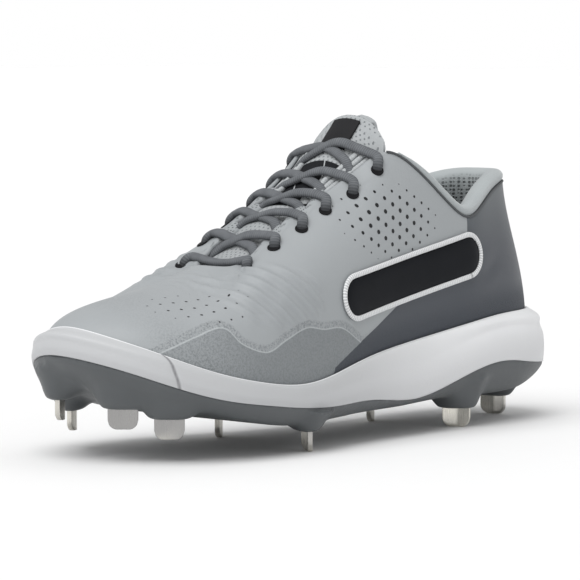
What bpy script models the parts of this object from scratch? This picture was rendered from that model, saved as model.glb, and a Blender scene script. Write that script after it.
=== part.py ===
"""Low-cut baseball cleat for the left foot, built piece by piece round one last.

Metres, +Z up. The toe points to -Y and the outer (lateral) side of the foot is +X.
Every form is worked out from one ring of stations, which runs from the heel's back
along the outer side to the toe tip and returns along the inner side.
"""

import math

import bmesh
import bpy
import numpy as np
from mathutils import Matrix, Vector
from mathutils.bvhtree import BVHTree

# Driving sizes of the shoe
SOLE_LENGTH = 0.294
BALL_WIDTH = 0.103
RIM_HEIGHT = 0.051
INSTEP_HEIGHT = 0.126
TOE_SPRING = 0.023
SIDE_FLARE = 0.010

# Walls and clearances
GAP = 0.0003
UPPER_WALL = 0.0022
RIM_LIP = 0.0024
RIM_ROUND = 0.0006
TRAY_WALL = 0.0026
TRAY_STEP = 0.0008
PLATE_THICKNESS = 0.0034
INSOLE_THICKNESS = 0.0034
TONGUE_THICKNESS = 0.0062
TONGUE_STAND = 0.0045
TONGUE_ARCH = 0.0080
TONGUE_HALF = 0.0215
TONGUE_TUCK = 0.009
LABEL_WIDTH = 0.015
LABEL_HEIGHT = 0.0125
COLLAR_PAD = 0.0070
COLLAR_ROLL = 0.0050
OVERLAY_THICKNESS = 0.0009
SIDE_BAR_LENGTH = 0.100
SIDE_BAR_HEIGHT = 0.019
SIDE_BAR_TILT = 10.0

# Lacing
EYELET_RADIUS = 0.0024
LACE_RADIUS = 0.0020

# Station and share of the way up its rib of each pair of eyelets, from the collar to the toe
EYELET_ROWS = (
    (7.42, 0.935),
    (8.24, 0.895),
    (9.18, 0.905),
    (9.95, 0.885),
    (10.75, 0.865),
    (11.55, 0.860),
)

# Steel spikes
SPIKE_WIDTH = 0.0128
SPIKE_THICKNESS = 0.0022
SPIKE_LENGTH = 0.0085
SPIKE_ROOT = 0.0033
SPIKE_FOLD = 0.0016
BOSS_WALL = 0.0032
BOSS_FLARE = 0.0045
BOSS_CLIMB = 0.60
SPIKE_CORNER = 0.0042

# Each row is one station from the heel's back (first) to the toe tip (last). along is the
# share of SOLE_LENGTH from the heel; lateral and medial are half widths of the sole as
# shares of BALL_WIDTH; under, line, rim and bed are heights of the plate's underside, of
# the seam between plate and midsole, of the midsole's top edge and of the bed inside it,
# as shares of RIM_HEIGHT before the toe spring; inset is the upper's from the sole's edge
# and tuck the plate's underside's, both in SIDE_FLAREs.
SOLE_COLUMNS = ("along", "lateral", "medial", "under", "line", "rim", "bed", "inset", "tuck")
SOLE_ROWS = (
    (0.000, 0.000, 0.000, 0.290, 0.475, 1.000, 0.700, 0.95, 1.10),
    (0.012, 0.165, 0.165, 0.290, 0.485, 1.000, 0.700, 0.95, 1.10),
    (0.050, 0.278, 0.272, 0.280, 0.505, 1.000, 0.700, 0.92, 1.05),
    (0.115, 0.348, 0.335, 0.270, 0.540, 1.000, 0.700, 0.85, 0.95),
    (0.200, 0.372, 0.352, 0.270, 0.570, 0.980, 0.680, 0.75, 0.75),
    (0.300, 0.372, 0.335, 0.285, 0.440, 0.905, 0.640, 0.62, 0.60),
    (0.400, 0.382, 0.318, 0.265, 0.330, 0.830, 0.580, 0.52, 0.55),
    (0.500, 0.412, 0.340, 0.255, 0.370, 0.745, 0.530, 0.50, 0.55),
    (0.590, 0.455, 0.395, 0.240, 0.370, 0.640, 0.470, 0.50, 0.60),
    (0.675, 0.490, 0.450, 0.230, 0.385, 0.585, 0.435, 0.48, 0.60),
    (0.760, 0.498, 0.490, 0.250, 0.400, 0.590, 0.425, 0.45, 0.60),
    (0.840, 0.455, 0.480, 0.270, 0.390, 0.605, 0.425, 0.43, 0.65),
    (0.912, 0.360, 0.415, 0.250, 0.405, 0.635, 0.430, 0.42, 0.68),
    (0.968, 0.205, 0.285, 0.230, 0.430, 0.655, 0.440, 0.42, 0.80),
    (1.000, -0.050, 0.050, 0.225, 0.440, 0.670, 0.440, 0.42, 0.95),
)

# The same stations at the upper's top edge, which is the collar and then the throat:
# back is the share of SOLE_LENGTH from the heel, out_lateral and out_medial are half
# widths as shares of BALL_WIDTH, height is a share of INSTEP_HEIGHT. lean is the wall's
# outward lean at the sole and pitch its slope at the top edge, both in degrees; rise and
# run are the lengths of the wall's two handles as shares of the way from edge to edge.
TOP_COLUMNS = ("back", "out_lateral", "out_medial", "height", "lean", "pitch", "rise", "run")
TOP_ROWS = (
    (0.0714, 0.000, 0.000, 0.875, 0.0, 86.0, 0.45, 0.30),
    (0.0800, 0.092, 0.092, 0.875, 1.0, 86.0, 0.45, 0.30),
    (0.1105, 0.165, 0.162, 0.870, 4.0, 85.0, 0.42, 0.30),
    (0.1630, 0.233, 0.224, 0.840, 8.0, 83.0, 0.40, 0.32),
    (0.2210, 0.300, 0.285, 0.782, 10.0, 80.0, 0.38, 0.34),
    (0.2720, 0.330, 0.310, 0.772, 10.0, 77.0, 0.36, 0.35),
    (0.3370, 0.315, 0.300, 0.885, 9.0, 70.0, 0.36, 0.36),
    (0.4040, 0.255, 0.250, 1.000, 8.0, 58.0, 0.38, 0.38),
    (0.4530, 0.205, 0.205, 0.958, 7.0, 48.0, 0.38, 0.38),
    (0.5070, 0.180, 0.180, 0.885, 6.0, 43.0, 0.38, 0.38),
    (0.5610, 0.158, 0.158, 0.815, 6.0, 39.0, 0.38, 0.38),
    (0.6210, 0.138, 0.138, 0.738, 6.0, 36.0, 0.38, 0.38),
    (0.6760, 0.118, 0.122, 0.645, 6.0, 31.0, 0.36, 0.40),
    (0.7080, 0.064, 0.068, 0.628, 5.0, 28.0, 0.33, 0.40),
    (0.7160, -0.002, 0.002, 0.630, 4.0, 27.0, 0.30, 0.40),
)

# Spikes: along and across as shares of SOLE_LENGTH and BALL_WIDTH (across is positive on
# the outer side), and the turn of the blade's face from the shoe's front, in degrees.
SPIKE_COLUMNS = ("along", "across", "turn")
SPIKE_ROWS = (
    (0.926, 0.126, 43.0),
    (0.948, -0.185, -50.0),
    (0.878, 0.255, 43.0),
    (0.865, -0.366, -50.0),
    (0.637, 0.375, -34.0),
    (0.598, -0.258, -46.0),
    (0.250, 0.250, 35.0),
    (0.281, -0.190, -50.0),
    (0.066, 0.020, 10.0),
)

# Stations of the tongue's toe end, of its last row under the eyestays and of the end of
# the collar's padding; then the tongue's free top: its rise as a share of TONGUE_STAND and
# its half width as a share of TONGUE_HALF.
TONGUE_TOE = 12.4
TONGUE_CORNER = 7.25
COLLAR_END = 6.80
TONGUE_TOP_COLUMNS = ("rise", "width")
TONGUE_TOP_ROWS = (
    (0.22, 1.00),
    (0.45, 0.93),
    (0.68, 0.80),
    (0.86, 0.62),
    (0.97, 0.38),
    (1.00, 0.20),
)

# How finely the forms are cut
STATION_STEPS = 3
WALL_STEPS = 9
BLEND_REACH = 0.012

LAST_ROW = len(SOLE_ROWS) - 1
COLUMNS_AROUND = 2 * LAST_ROW * STATION_STEPS


def clear_scene():
    for obj in list(bpy.data.objects):
        bpy.data.objects.remove(obj)


def new_collection(name):
    made = bpy.data.collections.new(name)
    bpy.context.scene.collection.children.link(made)
    return made


def material(name, colour, roughness, metallic=0.0):
    made = bpy.data.materials.new(name)
    made.use_nodes = True
    shader = made.node_tree.nodes["Principled BSDF"]
    shader.inputs["Base Color"].default_value = (*colour, 1.0)
    shader.inputs["Roughness"].default_value = roughness
    shader.inputs["Metallic"].default_value = metallic
    return made


def mesh_object(name, collection, surface, points, faces):
    """One object from points and faces, its faces turned to point outwards."""
    mesh = bpy.data.meshes.new(name)
    mesh.from_pydata([tuple(float(x) for x in p) for p in points], [], faces)
    shell = bmesh.new()
    shell.from_mesh(mesh)
    bmesh.ops.recalc_face_normals(shell, faces=shell.faces)
    shell.to_mesh(mesh)
    shell.free()
    mesh.shade_smooth()
    mesh.set_sharp_from_angle(angle=math.radians(35))
    made = bpy.data.objects.new(name, mesh)
    made.data.materials.append(surface)
    collection.objects.link(made)
    return made


def ring_of(lateral_side, medial_side):
    """A column's values round the shoe: heel, outer side, toe, then back on the inner side."""
    return list(lateral_side) + list(medial_side[-2:0:-1])


def through_points(values):
    """Control values of the closed uniform cubic B-spline that passes through a ring of values."""
    count = len(values)
    turn = np.roll(np.eye(count), 1, axis=0)
    return np.linalg.solve((4 * np.eye(count) + turn + turn.T) / 6, np.array(values, float))


def spline_at(control, station):
    """The closed spline's value at each station, in rows of the table from the heel's back."""
    station = np.asarray(station, float)
    first = np.floor(station).astype(int)
    f = station - first
    weights = ((1 - f) ** 3, 3 * f**3 - 6 * f**2 + 4, -3 * f**3 + 3 * f**2 + 3 * f + 1, f**3)
    return sum(w * control[(first + k - 1) % len(control)] for k, w in enumerate(weights)) / 6


def table_splines():
    """Every column of both tables as a closed spline, widths signed (+X is the outer side)."""
    splines = {}
    for names, rows, sides in (
        (SOLE_COLUMNS, SOLE_ROWS, ("lateral", "medial")),
        (TOP_COLUMNS, TOP_ROWS, ("out_lateral", "out_medial")),
    ):
        columns = dict(zip(names, zip(*rows)))
        across = ring_of(columns[sides[0]], [-x for x in columns[sides[1]]])
        splines["x_" + sides[0]] = through_points(across)
        for name in names:
            if name not in sides:
                splines[name] = through_points(ring_of(columns[name], columns[name]))
    return splines


SPLINES = table_splines()


def at(name, station):
    return spline_at(SPLINES[name], station)


def spring_at(along):
    """How far the toe spring lifts the shoe at a share of its length."""
    start = 0.62
    reach = np.clip((np.asarray(along, float) - start) / (1 - start), 0, None)
    return TOE_SPRING * reach**2.2


def outline(station, inset=0.0):
    """Plan points (x, y) of the sole's edge at each station, moved inwards by inset."""
    step = 0.01

    def edge(u):
        return np.stack([at("x_lateral", u) * BALL_WIDTH, (0.5 - at("along", u)) * SOLE_LENGTH], -1)

    way = edge(station + step) - edge(station - step)
    way /= np.linalg.norm(way, axis=-1, keepdims=True)
    outward = np.stack([-way[..., 1], way[..., 0]], -1)
    return edge(station) - outward * np.asarray(inset)[..., None], outward


def level(name, station):
    """Height of a sole level (under, line, rim or bed) at each station."""
    return at(name, station) * RIM_HEIGHT + spring_at(at("along", station))


def wall_grid(stations, shares):
    """Points of the upper's outer face: one rib a station, from the sole up to the top edge."""
    stations = np.asarray(stations, float)
    shares = np.asarray(shares, float)
    inset = at("inset", stations) * SIDE_FLARE
    foot_plan, outward = outline(stations, inset)
    foot = np.concatenate([foot_plan, level("bed", stations)[:, None] + GAP], axis=1)
    top = np.stack(
        [
            at("x_out_lateral", stations) * BALL_WIDTH,
            (0.5 - at("back", stations)) * SOLE_LENGTH,
            at("height", stations) * INSTEP_HEIGHT,
        ],
        -1,
    )
    inward = -outward * BLEND_REACH + (top - foot)[:, :2]
    inward /= np.linalg.norm(inward, axis=1, keepdims=True)
    inward = np.concatenate([inward, np.zeros((len(stations), 1))], axis=1)
    up = np.array([0.0, 0.0, 1.0])
    span = np.linalg.norm(top - foot, axis=1, keepdims=True)
    lean = np.radians(at("lean", stations))[:, None]
    pitch = np.radians(at("pitch", stations))[:, None]
    rise = at("rise", stations)[:, None] * span
    run = at("run", stations)[:, None] * span
    low = foot + rise * (np.cos(lean) * up - np.sin(lean) * inward)
    high = top - run * (np.cos(pitch) * inward + np.sin(pitch) * up)
    t = shares[None, :, None]
    return (
        (1 - t) ** 3 * foot[:, None]
        + 3 * (1 - t) ** 2 * t * low[:, None]
        + 3 * (1 - t) * t**2 * high[:, None]
        + t**3 * top[:, None]
    )


def wall_offset(stations, shares, distance):
    """The same points moved along the wall's outward normal."""
    small = 0.004
    along = wall_grid(np.add(stations, small), shares) - wall_grid(np.subtract(stations, small), shares)
    rise = wall_grid(stations, np.add(shares, small)) - wall_grid(stations, np.subtract(shares, small))
    normal = np.cross(rise, along)
    normal /= np.linalg.norm(normal, axis=-1, keepdims=True)
    return wall_grid(stations, shares) + normal * distance


def wall_point(station, share, distance=0.0):
    return wall_offset([station], [share], distance)[0, 0]


def share_at_height(stations, heights):
    """Where each rib passes a height, as a share from the sole to the top edge."""
    tries = np.linspace(0, 0.6, 121)
    z = wall_grid(stations, tries)[:, :, 2]
    return np.array([np.interp(h, row, tries) for h, row in zip(heights, z)])


def all_stations():
    return np.arange(COLUMNS_AROUND) / STATION_STEPS


def loft_faces(rings, columns, closed=True):
    """Faces between successive rings of points, ring after ring in the point list."""
    faces = []
    for r in range(rings - 1):
        for c in range(columns if closed else columns - 1):
            d = (c + 1) % columns
            faces.append((r * columns + c, r * columns + d, (r + 1) * columns + d, (r + 1) * columns + c))
    return faces


def ladder_faces(first, columns):
    """Closes a ring of points with rungs from each side of the shoe to the other."""
    half = columns // 2
    faces = [(first, first + 1, first + columns - 1)]
    for c in range(1, half - 1):
        faces.append((first + c, first + c + 1, first + columns - c - 1, first + columns - c))
    faces.append((first + half - 1, first + half, first + half + 1))
    return faces


def ring_solid(name, collection, surface, rings):
    """A closed solid from rings round the shoe, capped at its first and last ring."""
    columns = len(rings[0])
    faces = loft_faces(len(rings), columns)
    faces += ladder_faces(0, columns)
    faces += ladder_faces((len(rings) - 1) * columns, columns)
    return mesh_object(name, collection, surface, np.concatenate(rings), split_quads(faces))


def split_quads(faces):
    """Every quad cut along the same diagonal, so that facing surfaces stay a gap apart."""
    cut = []
    for face in faces:
        cut.append(face[:3])
        if len(face) == 4:
            cut.append((face[0], face[2], face[3]))
    return cut


def sole_ring(stations, inset, heights):
    plan, _ = outline(stations, inset)
    return np.concatenate([plan, np.asarray(heights)[:, None]], axis=1)


def add_boolean(obj, cutter, operation):
    modifier = obj.modifiers.new(cutter.name, "BOOLEAN")
    modifier.operation = operation
    modifier.object = cutter
    return modifier


def hide_helper(obj):
    obj.hide_render = True
    obj.display_type = "WIRE"


def build_outsole(collection, helpers, surface):
    """A tray: a plate with an upturned edge that the midsole nests in, and a boss for each spike."""
    u = all_stations()
    under = level("under", u)
    line = level("line", u)
    shares = (0, 0.15, 0.5, 1)
    rings = [sole_ring(u, tuck_at(u, share), under + share * (line - under)) for share in shares]
    rings.append(sole_ring(u, tuck_at(u, 1), line + TRAY_STEP))
    outsole = ring_solid("outsole", collection, surface, rings)
    for number, (along, across, turn) in enumerate(SPIKE_ROWS, 1):
        boss = boss_mesh(f"boss_{number}", helpers, along, across, turn)
        add_boolean(outsole, boss, "UNION")
    nest = ring_solid(
        "nest",
        helpers,
        surface,
        [
            sole_ring(u, *tray_floor(u)),
            sole_ring(u, tuck_at(u, 1) + TRAY_WALL, line),
            sole_ring(u, tuck_at(u, 1) - RIM_LIP, line),
            sole_ring(u, tuck_at(u, 1) - RIM_LIP, line + RIM_LIP),
        ],
    )
    hide_helper(nest)
    add_boolean(outsole, nest, "DIFFERENCE")
    for number, (along, across, turn) in enumerate(SPIKE_ROWS, 1):
        socket = blade_mesh(f"socket_{number}", helpers, surface, GAP, 0.0)
        place_on_plan(socket, along, across, turn, tip_height(along))
        hide_helper(socket)
        add_boolean(outsole, socket, "DIFFERENCE")
    return outsole


def tuck_at(stations, share):
    """How far the plate's side tucks in under the shoe, at a share of its height."""
    return TRAY_STEP + at("tuck", stations) * SIDE_FLARE * (1 - share) ** 1.7


def tray_floor(stations):
    """Inset and height of the tray's floor, where the midsole sits."""
    under = level("under", stations)
    depth = level("line", stations) - under
    share = np.minimum(PLATE_THICKNESS / depth, 0.8)
    return tuck_at(stations, share) + TRAY_WALL, under + share * depth


def plate_height(along):
    """Height of the plate's underside on the shoe's centre line."""
    rows = np.array(SOLE_ROWS)
    share = np.interp(along, rows[:, 0], rows[:, SOLE_COLUMNS.index("under")])
    return share * RIM_HEIGHT + float(spring_at(along))


def underside_at(x, y):
    """Height of the plate's outer face over a plan point, up its tucked side near the edge."""
    u = all_stations()
    edge, outward = outline(u)
    offset = edge - np.array([x, y])
    near = int(np.argmin(np.linalg.norm(offset, axis=1)))
    inside = float(offset[near] @ outward[near]) - TRAY_STEP
    tuck = float(at("tuck", u[near])) * SIDE_FLARE
    flat = plate_height(0.5 - y / SOLE_LENGTH)
    if inside >= tuck:
        return flat
    share = min(BOSS_CLIMB, 1 - (max(inside, 0.0) / tuck) ** (1 / 1.7))
    line, under = float(level("line", u[near])), float(level("under", u[near]))
    return max(flat, under + share * (line - under))


def tip_height(along):
    """Spikes behind the ball stand on the floor; those at the toe lift with its spring."""
    return float(spring_at(along))


def spike_root(along):
    return tip_height(along) + SPIKE_LENGTH


def boss_mesh(name, helpers, along, across, turn):
    """A flared oval pad from the plate down to the spike's root."""
    steps = 12
    pad_length = SPIKE_WIDTH / 2 + BOSS_WALL
    pad_width = SPIKE_THICKNESS / 2 + SPIKE_FOLD + BOSS_WALL
    low = spike_root(along)
    place = Matrix.Rotation(math.radians(turn), 2)
    centre = plan_place(along, across)
    points = []
    for share, flare in ((1.0, 1.0), (0.45, 0.45), (0.06, 0.0), (0.0, -0.12)):
        for k in range(steps):
            angle = 2 * math.pi * k / steps
            reach = BOSS_FLARE * flare
            x, y = place @ Vector(
                ((pad_length + reach) * math.cos(angle), (pad_width + reach) * math.sin(angle))
            )
            high = underside_at(centre.x + x, centre.y + y) + 0.4 * PLATE_THICKNESS
            points.append((x, y, low + share * (high - low)))
    faces = loft_faces(4, steps)
    faces.append(tuple(range(steps)))
    faces.append(tuple(range(3 * steps, 4 * steps)))
    boss = mesh_object(name, helpers, bpy.data.materials[0], points, faces)
    boss.location = centre
    hide_helper(boss)
    return boss


def blade_mesh(name, collection, surface, grow, tip):
    """A folded steel blade with rounded lower corners, its tip at z = tip and its root above."""
    columns = 9
    half = SPIKE_WIDTH / 2 + grow
    thick = SPIKE_THICKNESS / 2 + grow
    corner = SPIKE_CORNER
    top = SPIKE_LENGTH + SPIKE_ROOT + grow
    rows = []
    for k in range(columns):
        share = -1 + 2 * k / (columns - 1)
        x = half * share
        fold = SPIKE_FOLD * (1 - abs(share))
        inner = half - corner
        drop = corner - math.sqrt(max(corner**2 - max(abs(x) - inner, 0) ** 2, 0))
        rows.append((x, fold, tip - grow + drop * 0.98, tip + top))
    points = []
    for side in (-1, 1):
        for x, fold, low, high in rows:
            points.append((x, fold + side * thick, low))
            points.append((x, fold + side * thick, high))
    faces = []
    for side in (0, 1):
        for k in range(columns - 1):
            a = 2 * columns * side + 2 * k
            faces.append((a, a + 2, a + 3, a + 1))
    for k in range(columns - 1):
        a = 2 * k
        b = a + 2 * columns
        faces.append((a, a + 2, b + 2, b))
        faces.append((a + 1, a + 3, b + 3, b + 1))
    last = 2 * (columns - 1)
    for a in (0, last):
        faces.append((a, a + 1, a + 1 + 2 * columns, a + 2 * columns))
    return mesh_object(name, collection, surface, points, faces)


def plan_place(along, across):
    return Vector((across * BALL_WIDTH, (0.5 - along) * SOLE_LENGTH, 0.0))


def place_on_plan(obj, along, across, turn, height):
    obj.location = plan_place(along, across) + Vector((0.0, 0.0, height))
    obj.rotation_euler = (0.0, 0.0, math.radians(turn))


def build_spikes(collection, surface):
    for number, (along, across, turn) in enumerate(SPIKE_ROWS, 1):
        spike = blade_mesh(f"spike_{number}", collection, surface, 0.0, 0.0)
        place_on_plan(spike, along, across, turn, tip_height(along))


def build_midsole(collection, surface):
    """A foam cup: nested in the plate's tray below, its rim wrapped round the upper's foot."""
    u = all_stations()
    line = level("line", u)
    rim = level("rim", u)
    floor_inset, floor = tray_floor(u)
    rim_share = share_at_height(u, rim)
    inner = [
        column_points(u, rim_share * part, GAP) for part in (1.0, 0.66, 0.33, 0.0)
    ]
    lip = column_points(u, rim_share, GAP + RIM_LIP)
    lip[:, 2] = rim - RIM_ROUND
    bed = inner[-1].copy()
    bed[:, 2] = level("bed", u)
    rings = [
        sole_ring(u, floor_inset + GAP, floor + GAP),
        sole_ring(u, tuck_at(u, 1) + TRAY_WALL + GAP, line + GAP),
        sole_ring(u, 0.5 * TRAY_STEP + 0 * u, line + GAP),
        sole_ring(u, 0.0 * u, line + 0.28 * (rim - line)),
        sole_ring(u, 0.05 * SIDE_FLARE + 0 * u, line + 0.55 * (rim - line)),
        sole_ring(u, 0.24 * at("inset", u) * SIDE_FLARE, line + 0.82 * (rim - line)),
        lip,
        *inner[:-1],
        bed,
    ]
    return ring_solid("midsole", collection, surface, rings)


def column_points(stations, shares, distance):
    """One point of the upper's face for each station, each at its own share up the rib."""
    return np.array([wall_point(u, s, distance) for u, s in zip(stations, shares)])


def build_insole(collection, surface):
    """A flat liner on the midsole's bed, inside the foot of the upper."""
    u = all_stations()
    inset = UPPER_WALL + 3 * GAP
    low = column_points(u, 0.0 * u, -inset)
    share = share_at_height(u, level("bed", u) + GAP + INSOLE_THICKNESS)
    high = column_points(u, share, -inset)
    low[:, 2] = level("bed", u) + GAP
    high[:, 2] = level("bed", u) + GAP + INSOLE_THICKNESS
    return ring_solid("insole", collection, surface, [low, high])


def build_upper(collection, helpers, surface):
    """One hollow wall from the sole to the collar and throat, with a hole for each eyelet."""
    u = all_stations()
    shares = np.linspace(0, 1, WALL_STEPS)
    outer = wall_grid(u, shares)
    rings = [outer[:, k] for k in range(WALL_STEPS)]
    upper = mesh_object(
        "upper", collection, surface, np.concatenate(rings), loft_faces(WALL_STEPS, len(u))
    )
    wall = upper.modifiers.new("wall", "SOLIDIFY")
    wall.thickness = UPPER_WALL
    wall.offset = -1
    wall.use_even_offset = True
    for (side, number), place in eyelets().items():
        hole = eyelet_cutter(f"hole_{side}_{number}", helpers, surface, *place)
        add_boolean(upper, hole, "DIFFERENCE")
    return upper


def eyelets():
    """Station and share of each eyelet, by its side and its number from the collar to the toe."""
    places = {}
    for number, (station, share) in enumerate(EYELET_ROWS, 1):
        places["lateral", number] = (station, share)
        places["medial", number] = (2 * LAST_ROW - station, share)
    return places


def eyelet_cutter(name, helpers, surface, station, share):
    """A short round bar through the wall at an eyelet."""
    reach = 2 * UPPER_WALL
    outer = Vector(wall_point(station, share, reach))
    inner = Vector(wall_point(station, share, -UPPER_WALL - reach))
    shell = bmesh.new()
    bmesh.ops.create_cone(
        shell,
        cap_ends=True,
        segments=10,
        radius1=EYELET_RADIUS,
        radius2=EYELET_RADIUS,
        depth=(outer - inner).length,
    )
    mesh = bpy.data.meshes.new(name)
    shell.to_mesh(mesh)
    shell.free()
    cutter = bpy.data.objects.new(name, mesh)
    cutter.rotation_mode = "QUATERNION"
    cutter.rotation_quaternion = (outer - inner).to_track_quat("Z", "Y")
    cutter.location = (outer + inner) / 2
    cutter.data.materials.append(surface)
    helpers.objects.link(cutter)
    hide_helper(cutter)
    return cutter


def throat_bridge(station, steps, clear, lift=0.0):
    """Points across the open throat at a station: an arc that carries on the wall's slope, and lift."""
    left = wall_point(2 * LAST_ROW - station, 1.0, -clear)
    right = wall_point(station, 1.0, -clear)
    slope = math.radians(float(at("pitch", station))) / 2
    half = np.linalg.norm(right - left) / 2
    shares = np.linspace(-1, 1, steps)
    line = left + (right - left) * (shares[:, None] + 1) / 2
    line[:, 2] += (half * math.tan(slope / 2) + lift) * (1 - shares**2)
    return line


def tongue_grid():
    """The tongue's upper face: rows from the toe end to the domed top, each from side to side."""
    clear = UPPER_WALL + 4 * GAP
    rows = []
    for u in np.linspace(TONGUE_TOE, TONGUE_CORNER, 14):
        reach = min(1.0, 0.12 + 0.35 * (u - TONGUE_CORNER))
        lift = TONGUE_ARCH * max(0.0, 1 - (u - TONGUE_CORNER) / 1.9) ** 1.3
        under = 1 - reach * np.array([0.20, 0.13, 0.06])
        medial = wall_offset([2 * LAST_ROW - u], under, -clear)[0]
        lateral = wall_offset([u], under[::-1], -clear)[0]
        rows.append(np.concatenate([medial, throat_bridge(u, 7, clear, lift), lateral]))
    rows.insert(0, rows[0] + TONGUE_TUCK * np.array([0.0, -1.0, -0.55]))
    corner = rows[-1]
    middle = corner[len(corner) // 2]
    across = corner[:, 0] / corner[-1, 0]
    hang = corner[:, 2] - middle[2]
    for rise, width in TONGUE_TOP_ROWS:
        row = np.empty_like(corner)
        row[:, 0] = TONGUE_HALF * width * across
        row[:, 1] = middle[1] + 0.90 * TONGUE_STAND * rise + 0.12 * TONGUE_HALF * (width * across) ** 2
        row[:, 2] = middle[2] + TONGUE_STAND * rise + 0.6 * width**2 * hang
        rows.append(row)
    return np.array(rows)


def outward_of(grid):
    """Unit normals of a grid of points, pointing up out of the shoe."""
    normal = np.cross(np.gradient(grid, axis=1), np.gradient(grid, axis=0))
    normal /= np.linalg.norm(normal, axis=-1, keepdims=True)
    return normal if normal[len(grid) // 2, grid.shape[1] // 2, 2] > 0 else -normal


def slab(name, collection, surface, outer, inner):
    """A closed sheet between two grids of points."""
    count, width = outer.shape[:2]
    points = np.concatenate([outer.reshape(-1, 3), inner.reshape(-1, 3)])
    faces = loft_faces(count, width, closed=False)
    offset = count * width
    faces += [tuple(i + offset for i in face) for face in faces]
    rim = (
        [r * width for r in range(count)]
        + [(count - 1) * width + c for c in range(1, width)]
        + [r * width + width - 1 for r in range(count - 2, -1, -1)]
        + list(range(width - 2, 0, -1))
    )
    for k, a in enumerate(rim):
        b = rim[(k + 1) % len(rim)]
        faces.append((a, b, b + offset, a + offset))
    return mesh_object(name, collection, surface, points, split_quads(faces))


def build_tongue(collection, surface):
    """A padded slab under the lacing: wide flanks under the eyestays and a domed top."""
    outer = tongue_grid()
    edge = np.minimum(np.arange(outer.shape[1]), np.arange(outer.shape[1])[::-1])
    taper = np.clip(edge / 3, 0.25, 1.0)[None, :, None]
    inner = outer - outward_of(outer) * TONGUE_THICKNESS * taper
    return slab("tongue", collection, surface, outer, inner)


def build_tongue_label(collection, helpers, surface):
    """A bare black band across the front of the tongue, just below its top edge."""
    grid = tongue_grid()
    normal = outward_of(grid)
    start = len(grid) - len(TONGUE_TOP_ROWS) - 4
    grid, normal = grid[start:], normal[start:]
    near = grid + normal * 1.5 * GAP
    far = near + normal * 2 * GAP
    label = slab("tongue_label", collection, surface, far, near)
    top = float(grid[-1, grid.shape[1] // 2, 2]) - 0.16 * LABEL_HEIGHT
    front = float(grid[:, :, 1].min())
    cutter = box_cutter(
        "label_outline",
        helpers,
        surface,
        (-LABEL_WIDTH / 2, front - LABEL_HEIGHT, top - LABEL_HEIGHT),
        (LABEL_WIDTH / 2, front + 3 * LABEL_WIDTH, top),
    )
    add_boolean(label, cutter, "INTERSECT")
    return label


def box_cutter(name, helpers, surface, low, high):
    points = [(x, y, z) for x in (low[0], high[0]) for y in (low[1], high[1]) for z in (low[2], high[2])]
    faces = [(0, 1, 3, 2), (4, 6, 7, 5), (0, 4, 5, 1), (2, 3, 7, 6), (0, 2, 6, 4), (1, 5, 7, 3)]
    cutter = mesh_object(name, helpers, surface, points, faces)
    hide_helper(cutter)
    return cutter


def build_collar(collection, surface):
    """The padded collar lining: inside the upper, rolled over its top edge from corner to corner."""
    stations = np.linspace(-COLLAR_END, COLLAR_END, 37)
    columns = []
    for u in stations:
        fade = min(1.0, (COLLAR_END - abs(u)) / 1.2 + 0.30)
        pad = COLLAR_PAD * fade
        roll = COLLAR_ROLL * fade
        clear = UPPER_WALL + GAP
        inside = [wall_point(u, s, -clear) for s in (0.56, 0.78, 0.985)]
        top = wall_point(u, 1.0)
        rib = wall_point(u, 1.0) - wall_point(u, 0.96)
        rib /= np.linalg.norm(rib)
        inward = wall_point(u, 1.0, -1.0) - top
        over = top + rib * GAP * 1.6
        columns.append(
            [
                *inside,
                over + inward * clear,
                over + inward * GAP,
                over + rib * roll * 0.55 - inward * 2 * GAP,
                over + rib * roll + inward * (0.2 * pad),
                over + rib * roll + inward * (0.62 * pad + 0.3 * UPPER_WALL),
                over + rib * roll * 0.4 + inward * (pad + UPPER_WALL),
                wall_point(u, 0.90, -clear - pad),
                wall_point(u, 0.74, -clear - 0.75 * pad),
                wall_point(u, 0.60, -clear - 0.35 * pad),
            ]
        )
    grid = np.array(columns)
    count, around = grid.shape[:2]
    faces = []
    for r in range(count - 1):
        for c in range(around):
            d = (c + 1) % around
            faces.append((r * around + c, r * around + d, (r + 1) * around + d, (r + 1) * around + c))
    faces.append(tuple(range(around)))
    faces.append(tuple(range((count - 1) * around, count * around)))
    return mesh_object("collar", collection, surface, grid.reshape(-1, 3), faces)


def tree_of(obj):
    """The finished surface of an object, for finding how near a point is to it."""
    graph = bpy.context.evaluated_depsgraph_get()
    return BVHTree.FromObject(obj, graph)


def clear_path(start, end, trees, steps):
    """A path from point to point that stays a lace's radius and a gap above the surfaces."""
    need = LACE_RADIUS + 2 * GAP
    path = [Vector(start).lerp(Vector(end), k / (steps - 1)) for k in range(steps)]
    for smoothing in range(6):
        for point in path:
            while min(tree.find_nearest(point)[3] for tree in trees) < need or is_under(point, trees):
                point.z += GAP
        if smoothing < 5:
            level_line = [path[0].z]
            level_line += [
                max(point.z, (before.z + after.z) / 2)
                for before, point, after in zip(path, path[1:], path[2:])
            ]
            for point, z in zip(path[:-1], level_line):
                point.z = z
    return path


def is_under(point, trees):
    """Whether a surface lies close above the point."""
    return any(tree.ray_cast(point, Vector((0, 0, 1)), TONGUE_HALF)[0] is not None for tree in trees)


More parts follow.
